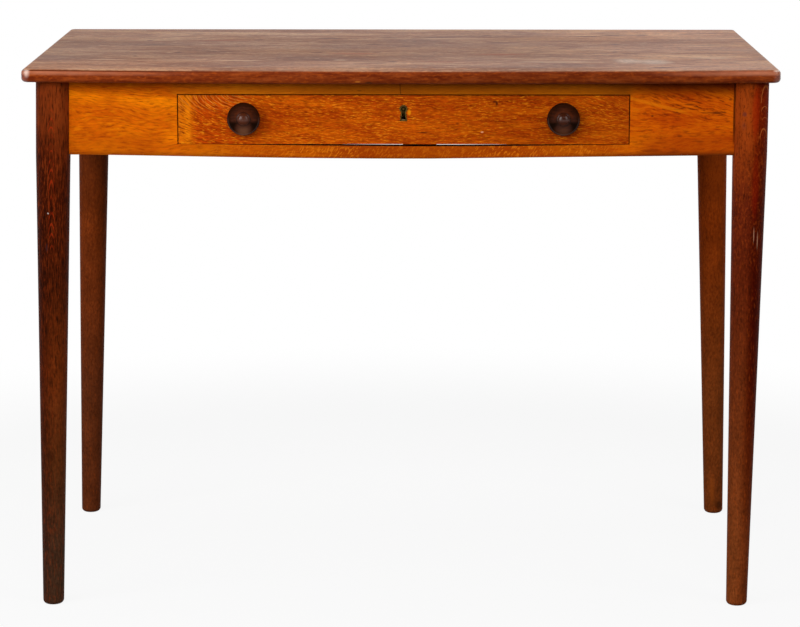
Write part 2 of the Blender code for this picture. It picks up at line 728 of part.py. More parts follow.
def knob_profile():
    """From the seat on the drawer out: a coved stem, a round rim, a low dome and a nub."""
    stem = KNOB_STEM_DIAMETER / 2
    edge = (KNOB_DIAMETER - KNOB_RIM) / 2
    nub = KNOB_NUB_DIAMETER / 2
    face = KNOB_STEM_LENGTH + KNOB_RIM
    turns = [math.pi / 2 * step / ARC_STEPS for step in range(ARC_STEPS + 1)]
    cove = [(stem + (edge - stem) * (1 - math.cos(t)), KNOB_STEM_LENGTH * math.sin(t)) for t in turns[1:-1]]
    rim = arc((edge, KNOB_STEM_LENGTH + KNOB_RIM / 2), KNOB_RIM / 2, -math.pi / 2, math.pi / 2)
    crown = face + KNOB_DOME
    dome = [(edge + (nub - edge) * math.sin(t), face + KNOB_DOME * math.sin(t) ** 2) for t in turns[1:]]
    tip = [(nub * math.cos(t), crown + KNOB_NUB_HEIGHT * math.sin(t)) for t in turns[1:-1]]
    seat = [(0.0, FIT), (stem, FIT)]
    return seat + cove + rim + dome + tip + [(0.0, crown + KNOB_NUB_HEIGHT)]


def make_knob(name, x, front):
    outwards = (0, -1, 0)
    shape = aimed(turned(knob_profile(), KNOB_SEGMENTS), (x, DRAWER_FACE, KNOB_Z), (0, 1, 0))
    knob = piece(name, shape, "dark_turned_knob", (x, DRAWER_FACE, KNOB_Z))
    round_screw(
        f"{name}_screw", (x, DRAWER_FRONT_BACK, KNOB_Z), outwards,
        DRAWER_FRONT_THICKNESS + KNOB_SCREW_BITE, KNOB_SCREW_DIAMETER, (front, knob),
    )
    return knob


# Keyhole and lock


def keyhole_outline(grow):
    """A round head over a foot that flares, larger by grow all round."""
    head = ESCUTCHEON_HEAD / 2 + grow
    waist = ESCUTCHEON_WAIST / 2 + grow
    foot = ESCUTCHEON_FOOT / 2 + grow
    dip = math.acos(waist / head)
    round_head = arc((0.0, 0.0), head, -dip, math.pi + dip, 3 * ARC_STEPS)
    low = -ESCUTCHEON_FOOT_DROP - grow
    outline = round_head + [(-foot, low), (foot, low)]
    return [(DRAWER_OFFSET + x, KEYHOLE_Z + z) for x, z in outline]


def make_escutcheon(front):
    depth = DRAWER_FACE + ESCUTCHEON_DEPTH
    liner = piece("escutcheon", prism(keyhole_outline(0.0), "Y", DRAWER_FACE, depth), "aged_brass")
    before = DRAWER_FACE - CUT_OVERRUN
    cut(liner, prism(keyhole_outline(-ESCUTCHEON_WALL), "Y", before, depth + CUT_OVERRUN))
    cut(front, prism(keyhole_outline(FIT), "Y", before, DRAWER_FRONT_BACK - LOCK_BOX_DEPTH))
    return liner


def lock_block(width, depths, heights, grow=0.0):
    """A box in the lock: depths run from the drawer front's back towards its face, heights from its top."""
    return block(
        (DRAWER_OFFSET - width / 2, DRAWER_FRONT_BACK - depths[0], DRAWER_TOP + heights[0]),
        (DRAWER_OFFSET + width / 2, DRAWER_FRONT_BACK - depths[1], DRAWER_TOP + heights[1]),
        grow,
    )


CAP_INNER = LOCK_BOX_DEPTH + FIT
CAP_OUTER = CAP_INNER + LOCK_WALL


def make_lock_case(front):
    """An L-shaped plate with a hollow box on it, let into the back and the top edge of the drawer front."""
    plate = ((0.0, LOCK_PLATE), (-LOCK_PLATE_HEIGHT, 0.0))
    selvage = ((0.0, CAP_OUTER), (-LOCK_PLATE, 0.0))
    box = ((0.0, CAP_OUTER), (-LOCK_BOX_HEIGHT, 0.0))
    over = CUT_OVERRUN
    for width, (depths, heights) in (
        (LOCK_PLATE_WIDTH, plate), (LOCK_PLATE_WIDTH, selvage), (LOCK_BOX_WIDTH, box),
    ):
        cut(front, lock_block(width + 2 * FIT, (-over, depths[1] + FIT), (heights[0] - FIT, over)))
    outline = [(0.0, 0.0), (0.0, -LOCK_PLATE_HEIGHT), (LOCK_PLATE, -LOCK_PLATE_HEIGHT),
               (LOCK_PLATE, -LOCK_PLATE), (CAP_OUTER, -LOCK_PLATE), (CAP_OUTER, 0.0)]
    outline = [(DRAWER_FRONT_BACK - depth, DRAWER_TOP + height) for depth, height in outline]
    half = LOCK_PLATE_WIDTH / 2
    case = piece("lock_case", prism(outline, "X", DRAWER_OFFSET - half, DRAWER_OFFSET + half), "aged_brass")
    join(case, lock_block(
        LOCK_BOX_WIDTH, (LOCK_PLATE / 2, LOCK_BOX_DEPTH), (-LOCK_BOX_HEIGHT, -LOCK_PLATE / 2)
    ))
    cut(case, lock_block(
        LOCK_BOX_WIDTH - 2 * LOCK_WALL, (LOCK_PLATE, LOCK_BOX_DEPTH + over),
        (LOCK_WALL - LOCK_BOX_HEIGHT, -LOCK_PLATE),
    ))
    slot = (BOLT_DEPTH - FIT, BOLT_DEPTH + BOLT_THICKNESS + FIT)
    cut(case, lock_block(BOLT_WIDTH + 2 * FIT, slot, (-LOCK_PLATE - over, over)))
    return case


def make_lock_cap():
    cap = piece("lock_cap", lock_block(
        LOCK_BOX_WIDTH, (CAP_INNER, CAP_OUTER), (-LOCK_BOX_HEIGHT, -LOCK_PLATE - FIT)
    ), "aged_brass")
    inner = keyhole_outline(-ESCUTCHEON_WALL)
    low, high = DRAWER_FRONT_BACK - CAP_OUTER - CUT_OVERRUN, DRAWER_FRONT_BACK - CAP_INNER + CUT_OVERRUN
    cut(cap, prism(inner, "Y", low, high))
    return cap


def make_lock_bolt(front_apron):
    """The bolt, drawn in, and the mortise above it in the upper rail."""
    depths = (BOLT_DEPTH, BOLT_DEPTH + BOLT_THICKNESS)
    low = -BOLT_RECESS - BOLT_HEIGHT
    bolt = piece("lock_bolt", lock_block(BOLT_WIDTH, depths, (low, -BOLT_RECESS)), "aged_brass")
    cut(bolt, lock_block(TALON_WIDTH, (0.0, LOCK_BOX_DEPTH), (low - CUT_OVERRUN, low + TALON_HEIGHT)))
    reach = BOLT_TRAVEL - BOLT_RECESS
    cut(front_apron, lock_block(BOLT_WIDTH, depths, (0.0, reach), BOLT_MORTISE_PLAY))
    return bolt


def make_lock_pin(case):
    """The post that a hollow key turns on, riveted through the plate."""
    point = (DRAWER_OFFSET, DRAWER_FRONT_BACK, KEYHOLE_Z)
    radius = PIN_DIAMETER / 2
    post = [(0.0, -PIN_LENGTH), (radius, -PIN_LENGTH), (radius, 0.0), (0.0, 0.0)]
    pin = piece("lock_pin", aimed(turned(post, SCREW_SEGMENTS), point, (0, -1, 0)), "aged_brass", point)
    low, high = -LOCK_PLATE - CUT_OVERRUN, CUT_OVERRUN
    hole = [(0.0, low), (radius + FIT, low), (radius + FIT, high), (0.0, high)]
    cut(case, aimed(turned(hole, SCREW_SEGMENTS), point, (0, -1, 0)))
    return pin


def make_lock_spring():
    """A bowed leaf between the cap and the bolt, its middle towards the bolt."""
    half = SPRING_LENGTH / 2
    steps = [2 * step / (2 * ARC_STEPS) - 1 for step in range(2 * ARC_STEPS + 1)]
    near_bolt = BOLT_DEPTH + BOLT_THICKNESS + FIT
    inner = [(half * s, near_bolt + SPRING_BOW * s * s) for s in steps]
    outer = [(half * s, near_bolt + SPRING_THICKNESS + SPRING_BOW * s * s) for s in reversed(steps)]
    outline = [(DRAWER_OFFSET + x, DRAWER_FRONT_BACK - depth) for x, depth in inner + outer]
    high = DRAWER_TOP - SPRING_DROP
    return piece("lock_spring", prism(outline, "Z", high - SPRING_WIDTH, high), "aged_brass")


def make_lock_screws(case, front):
    number = 0
    for side in (-1, 1):
        x = DRAWER_OFFSET + side * (LOCK_PLATE_WIDTH / 2 - LOCK_SCREW_INSET)
        for drop in (LOCK_SCREW_DROP, LOCK_PLATE_HEIGHT - LOCK_SCREW_DROP):
            number += 1
            flat_screw(
                f"lock_screw_{number}", (x, DRAWER_FRONT_BACK, DRAWER_TOP - drop), (0, -1, 0),
                LOCK_SCREW_LENGTH, SMALL_SCREW_DIAMETER, (case, front),
            )


# Bodies


def gather(name, point, pieces):
    """An empty at a point that carries pieces, which keep their places."""
    carrier = bpy.data.objects.new(name, None)
    carrier.location = point
    bpy.context.scene.collection.objects.link(carrier)
    for each in pieces:
        each.parent = carrier
        each.matrix_parent_inverse = Matrix.Translation(-Vector(point))
    return carrier


def make_desk():
    clear_scene()
    top = make_top()
    for side_name, side in (("left", -1), ("right", 1)):
        for end_name, end in (("front", -1), ("back", 1)):
            make_leg(f"{end_name}_{side_name}_leg", side, end)
    front_apron = make_front_apron()
    back_apron = make_back_apron()
    aprons = {"back": back_apron}
    for name, side in (("left", -1), ("right", 1)):
        aprons[name] = make_side_apron(f"{name}_apron", side)
        cheek, inner = make_cheek(f"{name}_cheek", side, (front_apron, back_apron))
        make_runner(f"{name}_runner", side, inner, cheek)
        make_kicker(f"{name}_kicker", side, inner, top)
    make_centre_runner(front_apron, back_apron)
    make_buttons(aprons, top)
    bolt = make_lock_bolt(front_apron)
    frame_pieces = [each for each in bpy.data.objects if each is not bolt]

    front = make_drawer_front()
    make_drawer_side("drawer_left_side", -1)
    make_drawer_side("drawer_right_side", 1)
    make_drawer_bottom(make_drawer_back())
    make_knob("left_knob", DRAWER_LEFT + KNOB_INSET, front)
    make_knob("right_knob", DRAWER_RIGHT - KNOB_INSET, front)
    case = make_lock_case(front)
    make_escutcheon(front)
    make_lock_cap()
    make_lock_pin(case)
    make_lock_spring()
    make_lock_screws(case, front)
    drawer_pieces = [each for each in bpy.data.objects if each not in frame_pieces and each is not bolt]

    for each in bpy.data.objects:
        each.data.shade_smooth()
        each.data.set_sharp_from_angle(angle=SMOOTH_ANGLE)
    gather("frame_body", (0.0, 0.0, 0.0), frame_pieces)
    drawer = gather("drawer_body", (DRAWER_OFFSET, DRAWER_FACE, KNOB_Z), drawer_pieces)
    bolt_body = gather("lock_bolt_body", bolt.location.copy(), [bolt])
    bolt_body.parent = drawer
    bolt_body.matrix_parent_inverse = Matrix.Translation(-drawer.location)


make_desk()
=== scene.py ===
"""The looks of a writing desk: its woods and metals, its softened edges and its turned pieces."""

import json
import math

import bmesh
import bpy
from mathutils import Matrix, Vector


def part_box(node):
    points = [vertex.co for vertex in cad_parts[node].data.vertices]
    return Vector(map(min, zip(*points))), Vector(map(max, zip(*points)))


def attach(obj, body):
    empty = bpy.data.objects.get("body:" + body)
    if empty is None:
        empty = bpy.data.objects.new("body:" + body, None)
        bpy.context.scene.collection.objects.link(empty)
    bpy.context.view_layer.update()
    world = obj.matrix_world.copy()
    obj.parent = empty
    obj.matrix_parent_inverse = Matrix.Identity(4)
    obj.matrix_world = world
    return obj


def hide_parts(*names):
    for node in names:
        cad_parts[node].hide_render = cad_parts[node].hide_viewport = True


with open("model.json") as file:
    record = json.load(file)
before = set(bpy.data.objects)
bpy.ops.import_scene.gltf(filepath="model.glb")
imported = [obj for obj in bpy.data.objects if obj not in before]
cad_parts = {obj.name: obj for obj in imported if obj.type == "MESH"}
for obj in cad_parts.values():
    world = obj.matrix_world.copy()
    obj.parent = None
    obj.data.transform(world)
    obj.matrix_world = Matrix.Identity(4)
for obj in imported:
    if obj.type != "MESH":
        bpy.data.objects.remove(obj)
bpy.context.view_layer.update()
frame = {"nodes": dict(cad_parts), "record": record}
NODE_SLOT = {part["node"]: part["material_slot"] for part in frame["record"]["subparts"]}
NODE_BODY = {
    node: body for body, nodes in frame["record"]["behaviour"]["bodies"].items() for node in nodes
}

# The photograph's view: its frame in pixels, and the camera that a fit to the desk's edges gave
PHOTO_WIDTH = 800
FOCAL_PIXELS = 2994.7
SENSOR_WIDTH = 36.0
CAMERA_PLACE = (0.0163, -4.2132, 1.1512)
CAMERA_PITCH = math.radians(10.6806)
CAMERA_YAW = math.radians(0.2491)
CAMERA_ROLL = math.radians(0.0365)

# Edges that wear has softened, and the fineness of the round pieces
MERGE_DISTANCE = 1e-6
LEVEL_TOLERANCE = 1e-5
FACE_TOLERANCE = 1e-4
FLAT_ANGLE = math.radians(0.5)
SHARP_ANGLE = math.radians(35)
CORNER_ANGLE = math.radians(40)
BOARD_EDGE = 0.0002
DRAWER_EDGE = 0.0002
LINER_EDGE = 0.0002
LINER_GROWTH = 0.0006
EDGE_STEPS = 3
ROUND_STEPS = 10
LEG_STEPS = 96
KNOB_STEPS = 128

# Top: its thickness and level come from the model
TOP_LOW, TOP_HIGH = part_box("top")
TOP_CORNER_RADIUS = 0.009
TOP_EDGE_RADIUS = 0.0055
TOP_CUTS = 24
LIP_DROOP = 0.0024
LIP_START = 0.258

# Legs
LEG_DIAMETER = 0.046
FOOT_DIAMETER = 0.0285
FOOT_ROUND = 0.006
LEG_GAP = 0.0003
APRON_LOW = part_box("back_apron")[0].z

# Drawer front and knobs
DRAWER_LOW, DRAWER_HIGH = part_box("drawer_front")
STRIP_LEAN = 0.0028
STRIP_PIVOT = 0.064
STRIP_DEPTH = 0.006
KNOB_STEM_RADIUS = 0.010
KNOB_STEM_LENGTH = 0.009
KNOB_RIM = 0.006
KNOB_LIP = 0.0015
KNOB_DOME = 0.0019
KNOB_NUB_RADIUS = 0.00775
KNOB_NUB_HEIGHT = 0.0050
KNOB_NUB_COVE = 0.0015

# The studio: the floor's size and tones, how far its shadow reaches, and the light all round
WHITE = (1.0, 1.0, 1.0, 1.0)
FLOOR_SIZE = 60.0
FLOOR_DIM = (0.25, 0.25, 0.25, 1.0)
FLOOR_BRIGHT = (0.9, 0.9, 0.9, 1.0)
FLOOR_SHADOW = 0.10
FLOOR_NEAR = 0.9
FLOOR_FAR = 1.6
WORLD_LIGHT = 0.05
WORLD_BEHIND = 0.9
WORLD_BEFORE = 0.03
WORLD_TURN = 0.25
LIGHT_AIM = (0.0, -0.25, 0.65)


# Shader maths


class Paint:
    """A socket among a material's nodes. Arithmetic on it adds Math nodes."""

    def __init__(self, tree, socket=None):
        self.tree = tree
        self.socket = socket

    def add(self, kind, sockets=None, output=0, **settings):
        """Any other node: its settings come first, then the values or links of its sockets."""
        node = self.tree.nodes.new(kind)
        for name, value in settings.items():
            if name == "stops":
                fill_ramp(node.color_ramp, value)
            else:
                setattr(node, name, value)
        for key, value in (sockets or {}).items():
            if isinstance(value, Paint):
                self.tree.links.new(value.socket, node.inputs[key])
            else:
                node.inputs[key].default_value = value
        return Paint(self.tree, node.outputs[output])

    def math(self, operation, *values):
        return self.add("ShaderNodeMath", dict(enumerate(values)), operation=operation)

    def __add__(self, other):
        return self.math("ADD", self, other)

    __radd__ = __add__

    def __sub__(self, other):
        return self.math("SUBTRACT", self, other)

    def __rsub__(self, other):
        return self.math("SUBTRACT", other, self)

    def __mul__(self, other):
        return self.math("MULTIPLY", self, other)

    __rmul__ = __mul__

    def __truediv__(self, other):
        return self.math("DIVIDE", self, other)

    def __rtruediv__(self, other):
        return self.math("DIVIDE", other, self)

    def __pow__(self, other):
        return self.math("POWER", self, other)

    def __abs__(self):
        return self.math("ABSOLUTE", self)


def fill_ramp(ramp, stops):
    for index, (place, colour) in enumerate(stops):
        stop = ramp.elements[index] if index < 2 else ramp.elements.new(place)
        stop.position = place
        stop.color = (*colour, 1.0)


def linear(red, green, blue):
    """A colour as it is seen on a screen, 0 to 255, as the light that it stands for."""
    shares = (value / 255 for value in (red, green, blue))
    return tuple(s / 12.92 if s <= 0.04045 else ((s + 0.055) / 1.055) ** 2.4 for s in shares)


def join(first, second, third):
    """A point from its three coordinates, some of which may be plain numbers."""
    paint = next(value for value in (first, second, third) if isinstance(value, Paint))
    return paint.add("ShaderNodeCombineXYZ", {0: first, 1: second, 2: third})


def noise(point, scale, detail=2.0, roughness=0.5, shift=(0.0, 0.0, 0.0)):
    """Smooth noise about 0.5, with so many waves to the metre each way."""
    place = point.add("ShaderNodeMapping", {"Vector": point, "Location": shift, "Scale": scale})
    sockets = {"Vector": place, "Scale": 1.0, "Detail": detail, "Roughness": roughness}
    return point.add("ShaderNodeTexNoise", sockets)


def smooth(value, low, high):
    """0 below low, 1 above high, and an easy rise between; falls instead where low is above high."""
    sockets = {"Value": value, "From Min": low, "From Max": high}
    return value.add("ShaderNodeMapRange", sockets, interpolation_type="SMOOTHSTEP")


def larger(first, second):
    return first.math("MAXIMUM", first, second)


def smaller(first, second):
    return first.math("MINIMUM", first, second)


def fraction(value):
    return value.math("FRACT", value)


def mix(share, first, second, blend="MIX"):
    """Between two colours, either of which may be a plain tuple."""
    paint = next(value for value in (share, first, second) if isinstance(value, Paint))
    sides = [value if isinstance(value, Paint) else (*value, 1.0) for value in (first, second)]
    sockets = {0: share, 6: sides[0], 7: sides[1]}
    return paint.add("ShaderNodeMix", sockets, output=2, data_type="RGBA", blend_type=blend)


def ramp(value, *stops):
    """Colours along a value, each at its place."""
    return value.add("ShaderNodeValToRGB", {0: value}, stops=stops)


def shade(colour, value):
    """A colour times a number."""
    return mix(1.0, colour, join_grey(value), blend="MULTIPLY")


def join_grey(value):
    return value.add("ShaderNodeCombineColor", {0: value, 1: value, 2: value})


def distance(u, v, centre, reach):
    """How far a point lies from a centre, with reach as one step each way."""
    across, along = (u - centre[0]) / reach[0], (v - centre[1]) / reach[1]
    return (across * across + along * along) ** 0.5


def spot(u, v, centre, reach, soft=0.4):
    """1 inside an oval, fading to 0 over its rim."""
    return smooth(distance(u, v, centre, reach), 1.0 + soft, 1.0 - soft)


def strip(value, centre, half, soft):
    """1 within half of a centre, fading to 0 on both sides."""
    return smooth(abs(value - centre), half + soft, half)


def new_finish(name, **constants):
    """A material with its shader, and paint for its Object coordinates: the point, x, y and z."""
    material = bpy.data.materials.new(name)
    material.use_nodes = True
    tree = material.node_tree
    shader = tree.nodes["Principled BSDF"]
    for socket, value in constants.items():
        shader.inputs[socket.replace("_", " ")].default_value = value
    point = Paint(tree).add("ShaderNodeTexCoord", output="Object")
    parts = [point.add("ShaderNodeSeparateXYZ", {0: point}, output=axis) for axis in range(3)]
    return material, point, *parts


def apply_finish(material, colour, roughness, height, depth, strength, polish=None):
    """Link what varies to the shader: its colour, roughness, relief and, on some, its coat of polish."""
    bump = height.add("ShaderNodeBump", {"Height": height, "Distance": depth, "Strength": strength})
    links = {"Base Color": colour, "Roughness": roughness, "Normal": bump}
    if polish is not None:
        links["Coat Weight"] = polish
    tree = material.node_tree
    for name, paint in links.items():
        tree.links.new(paint.socket, tree.nodes["Principled BSDF"].inputs[name])
    return material


# Woods


OAK_GLOSS = (1.0, 0.45, 0.04, 1.0)
LEG_GLOSS = (1.0, 0.42, 0.16, 1.0)


def apron_oak(name, along, face_marks=False):
    """Golden oiled oak with short wavy brown and gold dashes, its grain along X or Y."""
    material, point, x, y, z = new_finish(name, Specular_IOR_Level=0.10, Specular_Tint=OAK_GLOSS)
    run, depth = (x, y) if along == "X" else (y, x)
    place = join(run, z, depth)
    drift = noise(place, (9.0, 15.0, 9.0), detail=1.5)
    ripple = noise(place, (45.0, 70.0, 45.0), detail=2.0, shift=(3.0, 1.0, 0.0))
    across = z + (drift - 0.5) * 0.034 + (ripple - 0.5) * 0.0030
    if face_marks:
        tilt = smooth(z, 0.615, 0.700) * 0.40 - 0.10
        bend = 0.33
        across = across + larger(run - bend, 0.0) * tilt
        across = across + smaller(run + bend, 0.0) * tilt * 0.5
    flow = join(run, across, depth)
    broad = noise(flow, (10.0, 40.0, 10.0), detail=3.0, roughness=0.6)
    colour = ramp(
        broad, (0.30, linear(184, 76, 4)), (0.48, linear(213, 99, 4)), (0.66, linear(232, 121, 4))
    )
    blush = smooth(noise(point, (11.0, 11.0, 20.0), detail=2.0, shift=(7.0, 2.0, 5.0)), 0.5, 0.68)
    colour = mix(blush * 0.6, colour, linear(182, 70, 4))
    lines = noise(flow, (80.0, 540.0, 80.0), detail=2.5, roughness=0.6)
    colour = shade(colour, 1.0 + (0.5 - lines) * 1.2)
    colour = mix(smooth(lines, 0.54, 0.72) * 0.6, colour, linear(150, 48, 6))
    glints = noise(flow, (85.0, 580.0, 80.0), detail=2.0, shift=(5.0, 9.0, 2.0))
    colour = mix(smooth(glints, 0.50, 0.72) * 0.45, colour, linear(236, 134, 8))
    if face_marks:
        colour = mark_apron(colour, flow, x, y, z)
    roughness = 0.44 + lines * 0.16
    return apply_finish(material, colour, roughness, lines, depth=0.00025, strength=0.25)


# Dark flecks on the front apron: centre, half length and half height in X and Z, and strength
APRON_FLECKS = (
    ((0.4186, 0.6770), (0.0075, 0.0016), 0.75),
    ((0.4060, 0.6772), (0.0060, 0.0012), 0.45),
    ((0.3832, 0.6880), (0.0065, 0.0012), 0.65),
    ((0.3337, 0.6726), (0.0016, 0.0012), 0.80),
    ((0.3707, 0.6459), (0.0032, 0.0014), 0.70),
    ((0.3974, 0.6386), (0.0050, 0.0014), 0.65),
    ((0.4371, 0.6950), (0.0020, 0.0014), 0.60),
    ((0.3351, 0.6264), (0.0120, 0.0022), 0.60),
    ((0.3651, 0.6254), (0.0060, 0.0022), 0.55),
)


def mark_apron(colour, flow, x, y, z):
    """The front apron's own marks, from its ends to the strips over and under the drawer.

    Its right end is duller and flecked, with a gold streak, a red band and an opened joint at the leg,
    drawn as a painted shadow line. The strip over the drawer has a crack and the one under it a hatched
    figure. Painted shade lies in the opening, along the lower edge and under the top at both ends.
    """
    right = smooth(x, 0.24, 0.34)
    specks = noise(flow, (85.0, 340.0, 60.0), detail=2.5, roughness=0.6, shift=(1.0, 6.0, 3.0))
    colour = mix(right * 0.40, colour, linear(166, 37, 3))
    crowded = spot(x, z, (0.405, 0.684), (0.050, 0.016), 0.8) * 0.34 + 0.50
    colour = mix(smooth(specks, 0.53, 0.67) * right * crowded, colour, linear(88, 27, 5))
    colour = mix(smooth(specks, 0.46, 0.32) * right * 0.35, colour, linear(222, 110, 10))
    streak = strip(z + (x - 0.3375) * 0.257, 0.6878, 0.0008, 0.0026) * strip(x, 0.3375, 0.032, 0.016)
    colour = mix(streak * 0.42, colour, linear(236, 132, 12))
    band = spot(x, z + (x - 0.357) * 0.12, (0.357, 0.6660), (0.034, 0.0060), 0.7)
    colour = mix(band * 0.42, colour, linear(164, 44, 3))
    # Painted shadow: a dark line where the joint at the right leg has opened
    joint = smooth(x, 0.4404, 0.4414) * smooth(z, 0.632, 0.640)
    colour = mix(joint * 0.8, colour, linear(44, 15, 5))
    for centre, reach, strength in APRON_FLECKS:
        colour = mix(spot(x, z, centre, reach, 0.6) * strength, colour, linear(70, 24, 8))
    ledge = smooth(z, DRAWER_HIGH.z - 0.0005, DRAWER_HIGH.z + 0.002)
    upper = ledge * smooth(abs(x), 0.315, 0.295)
    colour = mix(upper * (0.3 + smooth(x, -0.27, -0.20) * 0.3), colour, linear(202, 114, 18))
    colour = mix(upper * (0.16 + smooth(x, -0.18, -0.04) * 0.30), colour, linear(104, 44, 5))
    # Painted shade under the top's overhang, deep at the right end and lighter at the left end
    colour = mix(right * smooth(z, 0.691, 0.716) * 0.85, colour, linear(74, 18, 3))
    colour = mix(smooth(x, -0.30, -0.34) * smooth(z, 0.700, 0.716) * 0.34, colour, linear(96, 34, 3))
    colour = mix(smooth(abs(x), 0.30, 0.34) * smooth(z, 0.660, 0.635) * 0.5, colour, linear(160, 60, 5))
    crack = strip(x + (z - 0.7044) * 0.08, -0.0004, 0.0003, 0.0005) * upper
    crack = crack + spot(x, z, (-0.0548, 0.7060), (0.0030, 0.0008)) * 0.6
    colour = mix(crack * 0.8, colour, linear(52, 22, 6))
    lower = smooth(z, DRAWER_LOW.z + 0.002, DRAWER_LOW.z - 0.001) * smooth(abs(x), 0.33, 0.25)
    deep = 0.42 + smooth(x, -0.16, -0.05) * 0.38 - smooth(x, 0.08, 0.2) * 0.16
    colour = mix(lower * deep, colour, linear(146, 51, 4))
    hatch = noise(join(x * 0.82 - z * 0.57, x * 0.57 + z * 0.82, y), (560.0, 190.0, 60.0), detail=1.0)
    hatched = lower * (spot(x, z, (-0.11, 0.628), (0.05, 0.02)) + spot(x, z, (0.20, 0.628), (0.10, 0.02)))
    colour = mix(smooth(hatch, 0.52, 0.66) * (lower * 0.34 + hatched * 0.34), colour, linear(220, 118, 20))
    # Painted shade on the faces inside the drawer's opening, lighter towards its sides
    inside = smooth(y, DRAWER_LOW.y + 0.0006, DRAWER_LOW.y + 0.0016) * smooth(abs(x), 0.312, 0.306)
    inside = inside * smooth(z, APRON_LOW + 0.004, APRON_LOW + 0.006)
    half = (DRAWER_HIGH.x - DRAWER_LOW.x) / 2
    sides = smooth(abs(x - DRAWER_LOW.x - half), half - 0.002, half)
    colour = mix(inside * (0.95 - sides * 0.6), colour, linear(22, 8, 3))
    # Painted shade: a dark band along the apron's lower edge, deeper at the right end
    sag = (1.0 - x * x / TOP_HIGH.x ** 2) ** 1.5 * (APRON_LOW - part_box("front_apron")[0].z)
    reach = smooth(abs(x), 0.10, 0.32) * 0.0050 + 0.0040
    foot = smooth(z + sag, APRON_LOW + reach, APRON_LOW)
    return mix(foot * (0.55 + right * 0.33), colour, linear(66, 24, 7))


def drawer_oak():
    """Orange-brown oak with pale flecks that bend round a peak at the upper left, redder at that end."""
    material, point, x, y, z = new_finish(
        "drawer_oak", Specular_IOR_Level=0.10, Specular_Tint=OAK_GLOSS
    )
    drift = noise(point, (12.0, 12.0, 18.0), detail=2.0)
    ripple = noise(point, (60.0, 60.0, 110.0), detail=2.0, shift=(4.0, 1.0, 8.0))
    peak_x, peak_z = -0.2205, DRAWER_HIGH.z + 0.002
    stretch, bend_x, bend = 0.37, 0.2105, 3.0
    left = larger(peak_x - x, 0.0) * stretch
    right = larger(x - bend_x, 0.0)
    down = peak_z - z
    across = (left * left + down * down) ** 0.5 - right * right * bend * smooth(z, 0.645, 0.685)
    across = across - smooth(x, -0.32, -0.10) * smooth(z, DRAWER_LOW.z - 0.03, DRAWER_HIGH.z) * 0.042
    curl = 0.0024 + smooth(x, 0.19, 0.23) * 0.0030
    across = across + (drift - 0.5) * 0.007 + (ripple - 0.5) * curl
    flow = join(x, across, y)
    broad = noise(flow, (14.0, 70.0, 9.0), detail=3.0, roughness=0.6)
    colour = ramp(
        broad, (0.30, linear(152, 50, 4)), (0.50, linear(174, 68, 5)), (0.68, linear(192, 84, 5))
    )
    left_end = smooth(x, -0.17, -0.24)
    colour = mix(left_end * 0.4, colour, linear(178, 58, 4))
    lines = noise(flow, (105.0, 600.0, 90.0), detail=2.5, roughness=0.65)
    colour = shade(colour, 1.0 + (0.5 - lines) * (2.3 + left_end * 0.6))
    colour = mix(smooth(lines, 0.56, 0.72) * 0.4, colour, linear(122, 36, 4))
    flecks = noise(flow, (165.0, 760.0, 90.0), detail=1.5, shift=(2.0, 7.0, 4.0))
    crowd = smooth(noise(point, (12.0, 12.0, 20.0), detail=1.0, shift=(9.0, 1.0, 2.0)), 0.30, 0.62)
    crowd = crowd + (1.0 - crowd) * left_end * 0.6
    colour = mix(smooth(flecks, 0.50, 0.70) * (0.40 + crowd * 0.40), colour, linear(224, 114, 10))
    colour = mix(smooth(flecks, 0.59, 0.72) * crowd * 0.55, colour, linear(240, 150, 30))
    ring_width = 0.0046
    arch = strip(fraction(across / ring_width), 0.5, 0.04, 0.13)
    arch = arch * smooth(x, -0.19, -0.215) * smooth(down, 0.030, 0.008)
    colour = mix(arch * (0.25 + flecks * 0.4), colour, linear(232, 146, 60))
    pale_end = smooth(x, -0.2690, -0.2840) * (0.48 + strip(x, -0.2825, 0.0015, 0.0045) * 0.22)
    colour = mix(pale_end * (0.5 + flecks) * smooth(lines, 0.70, 0.46), colour, linear(238, 134, 10))
    colour = mix(smooth(x, -0.2865, -0.2905) * smooth(lines, 0.48, 0.60) * 0.2, colour, linear(104, 36, 18))
    colour = shade(colour, 1.0 - smooth(x, -0.02, 0.16) * 0.17)
    colour = mark_drawer(colour, x, z)
    # Painted shade on the drawer front's edges, which sit in the gap round it, less of it on the top edge
    edges = smooth(y, DRAWER_LOW.y + 0.0004, DRAWER_LOW.y + 0.0014)
    edges = edges * (0.25 + smooth(z, DRAWER_HIGH.z - 0.0006, DRAWER_HIGH.z - 0.0012) * 0.45)
    colour = mix(edges, colour, linear(40, 15, 5))
    return apply_finish(material, colour, 0.42 + lines * 0.16, lines, depth=0.00025, strength=0.3)


def mark_drawer(colour, x, z):
    """Dark specks, a chip beside the keyhole and a pale spot on the drawer front."""
    dark = linear(66, 24, 8)
    marks = (
        ((0.1243, 0.6915), (0.0024, 0.0014), 0.75, dark),
        ((0.1272, 0.6890), (0.0016, 0.0028), 0.85, dark),
        ((0.0754, 0.6623), (0.0022, 0.0016), 0.5, dark),
        ((0.0302, 0.6502), (0.0085, 0.0010), 0.6, dark),
        ((0.1080, 0.6509), (0.0018, 0.0010), 0.8, linear(226, 158, 110)),
        ((0.0112, 0.6772), (0.0022, 0.0036), 0.65, linear(238, 150, 16)),
    )
    for centre, reach, strength, tone in marks:
        colour = mix(spot(x, z, centre, reach, 0.5) * strength, colour, tone)
    return colour
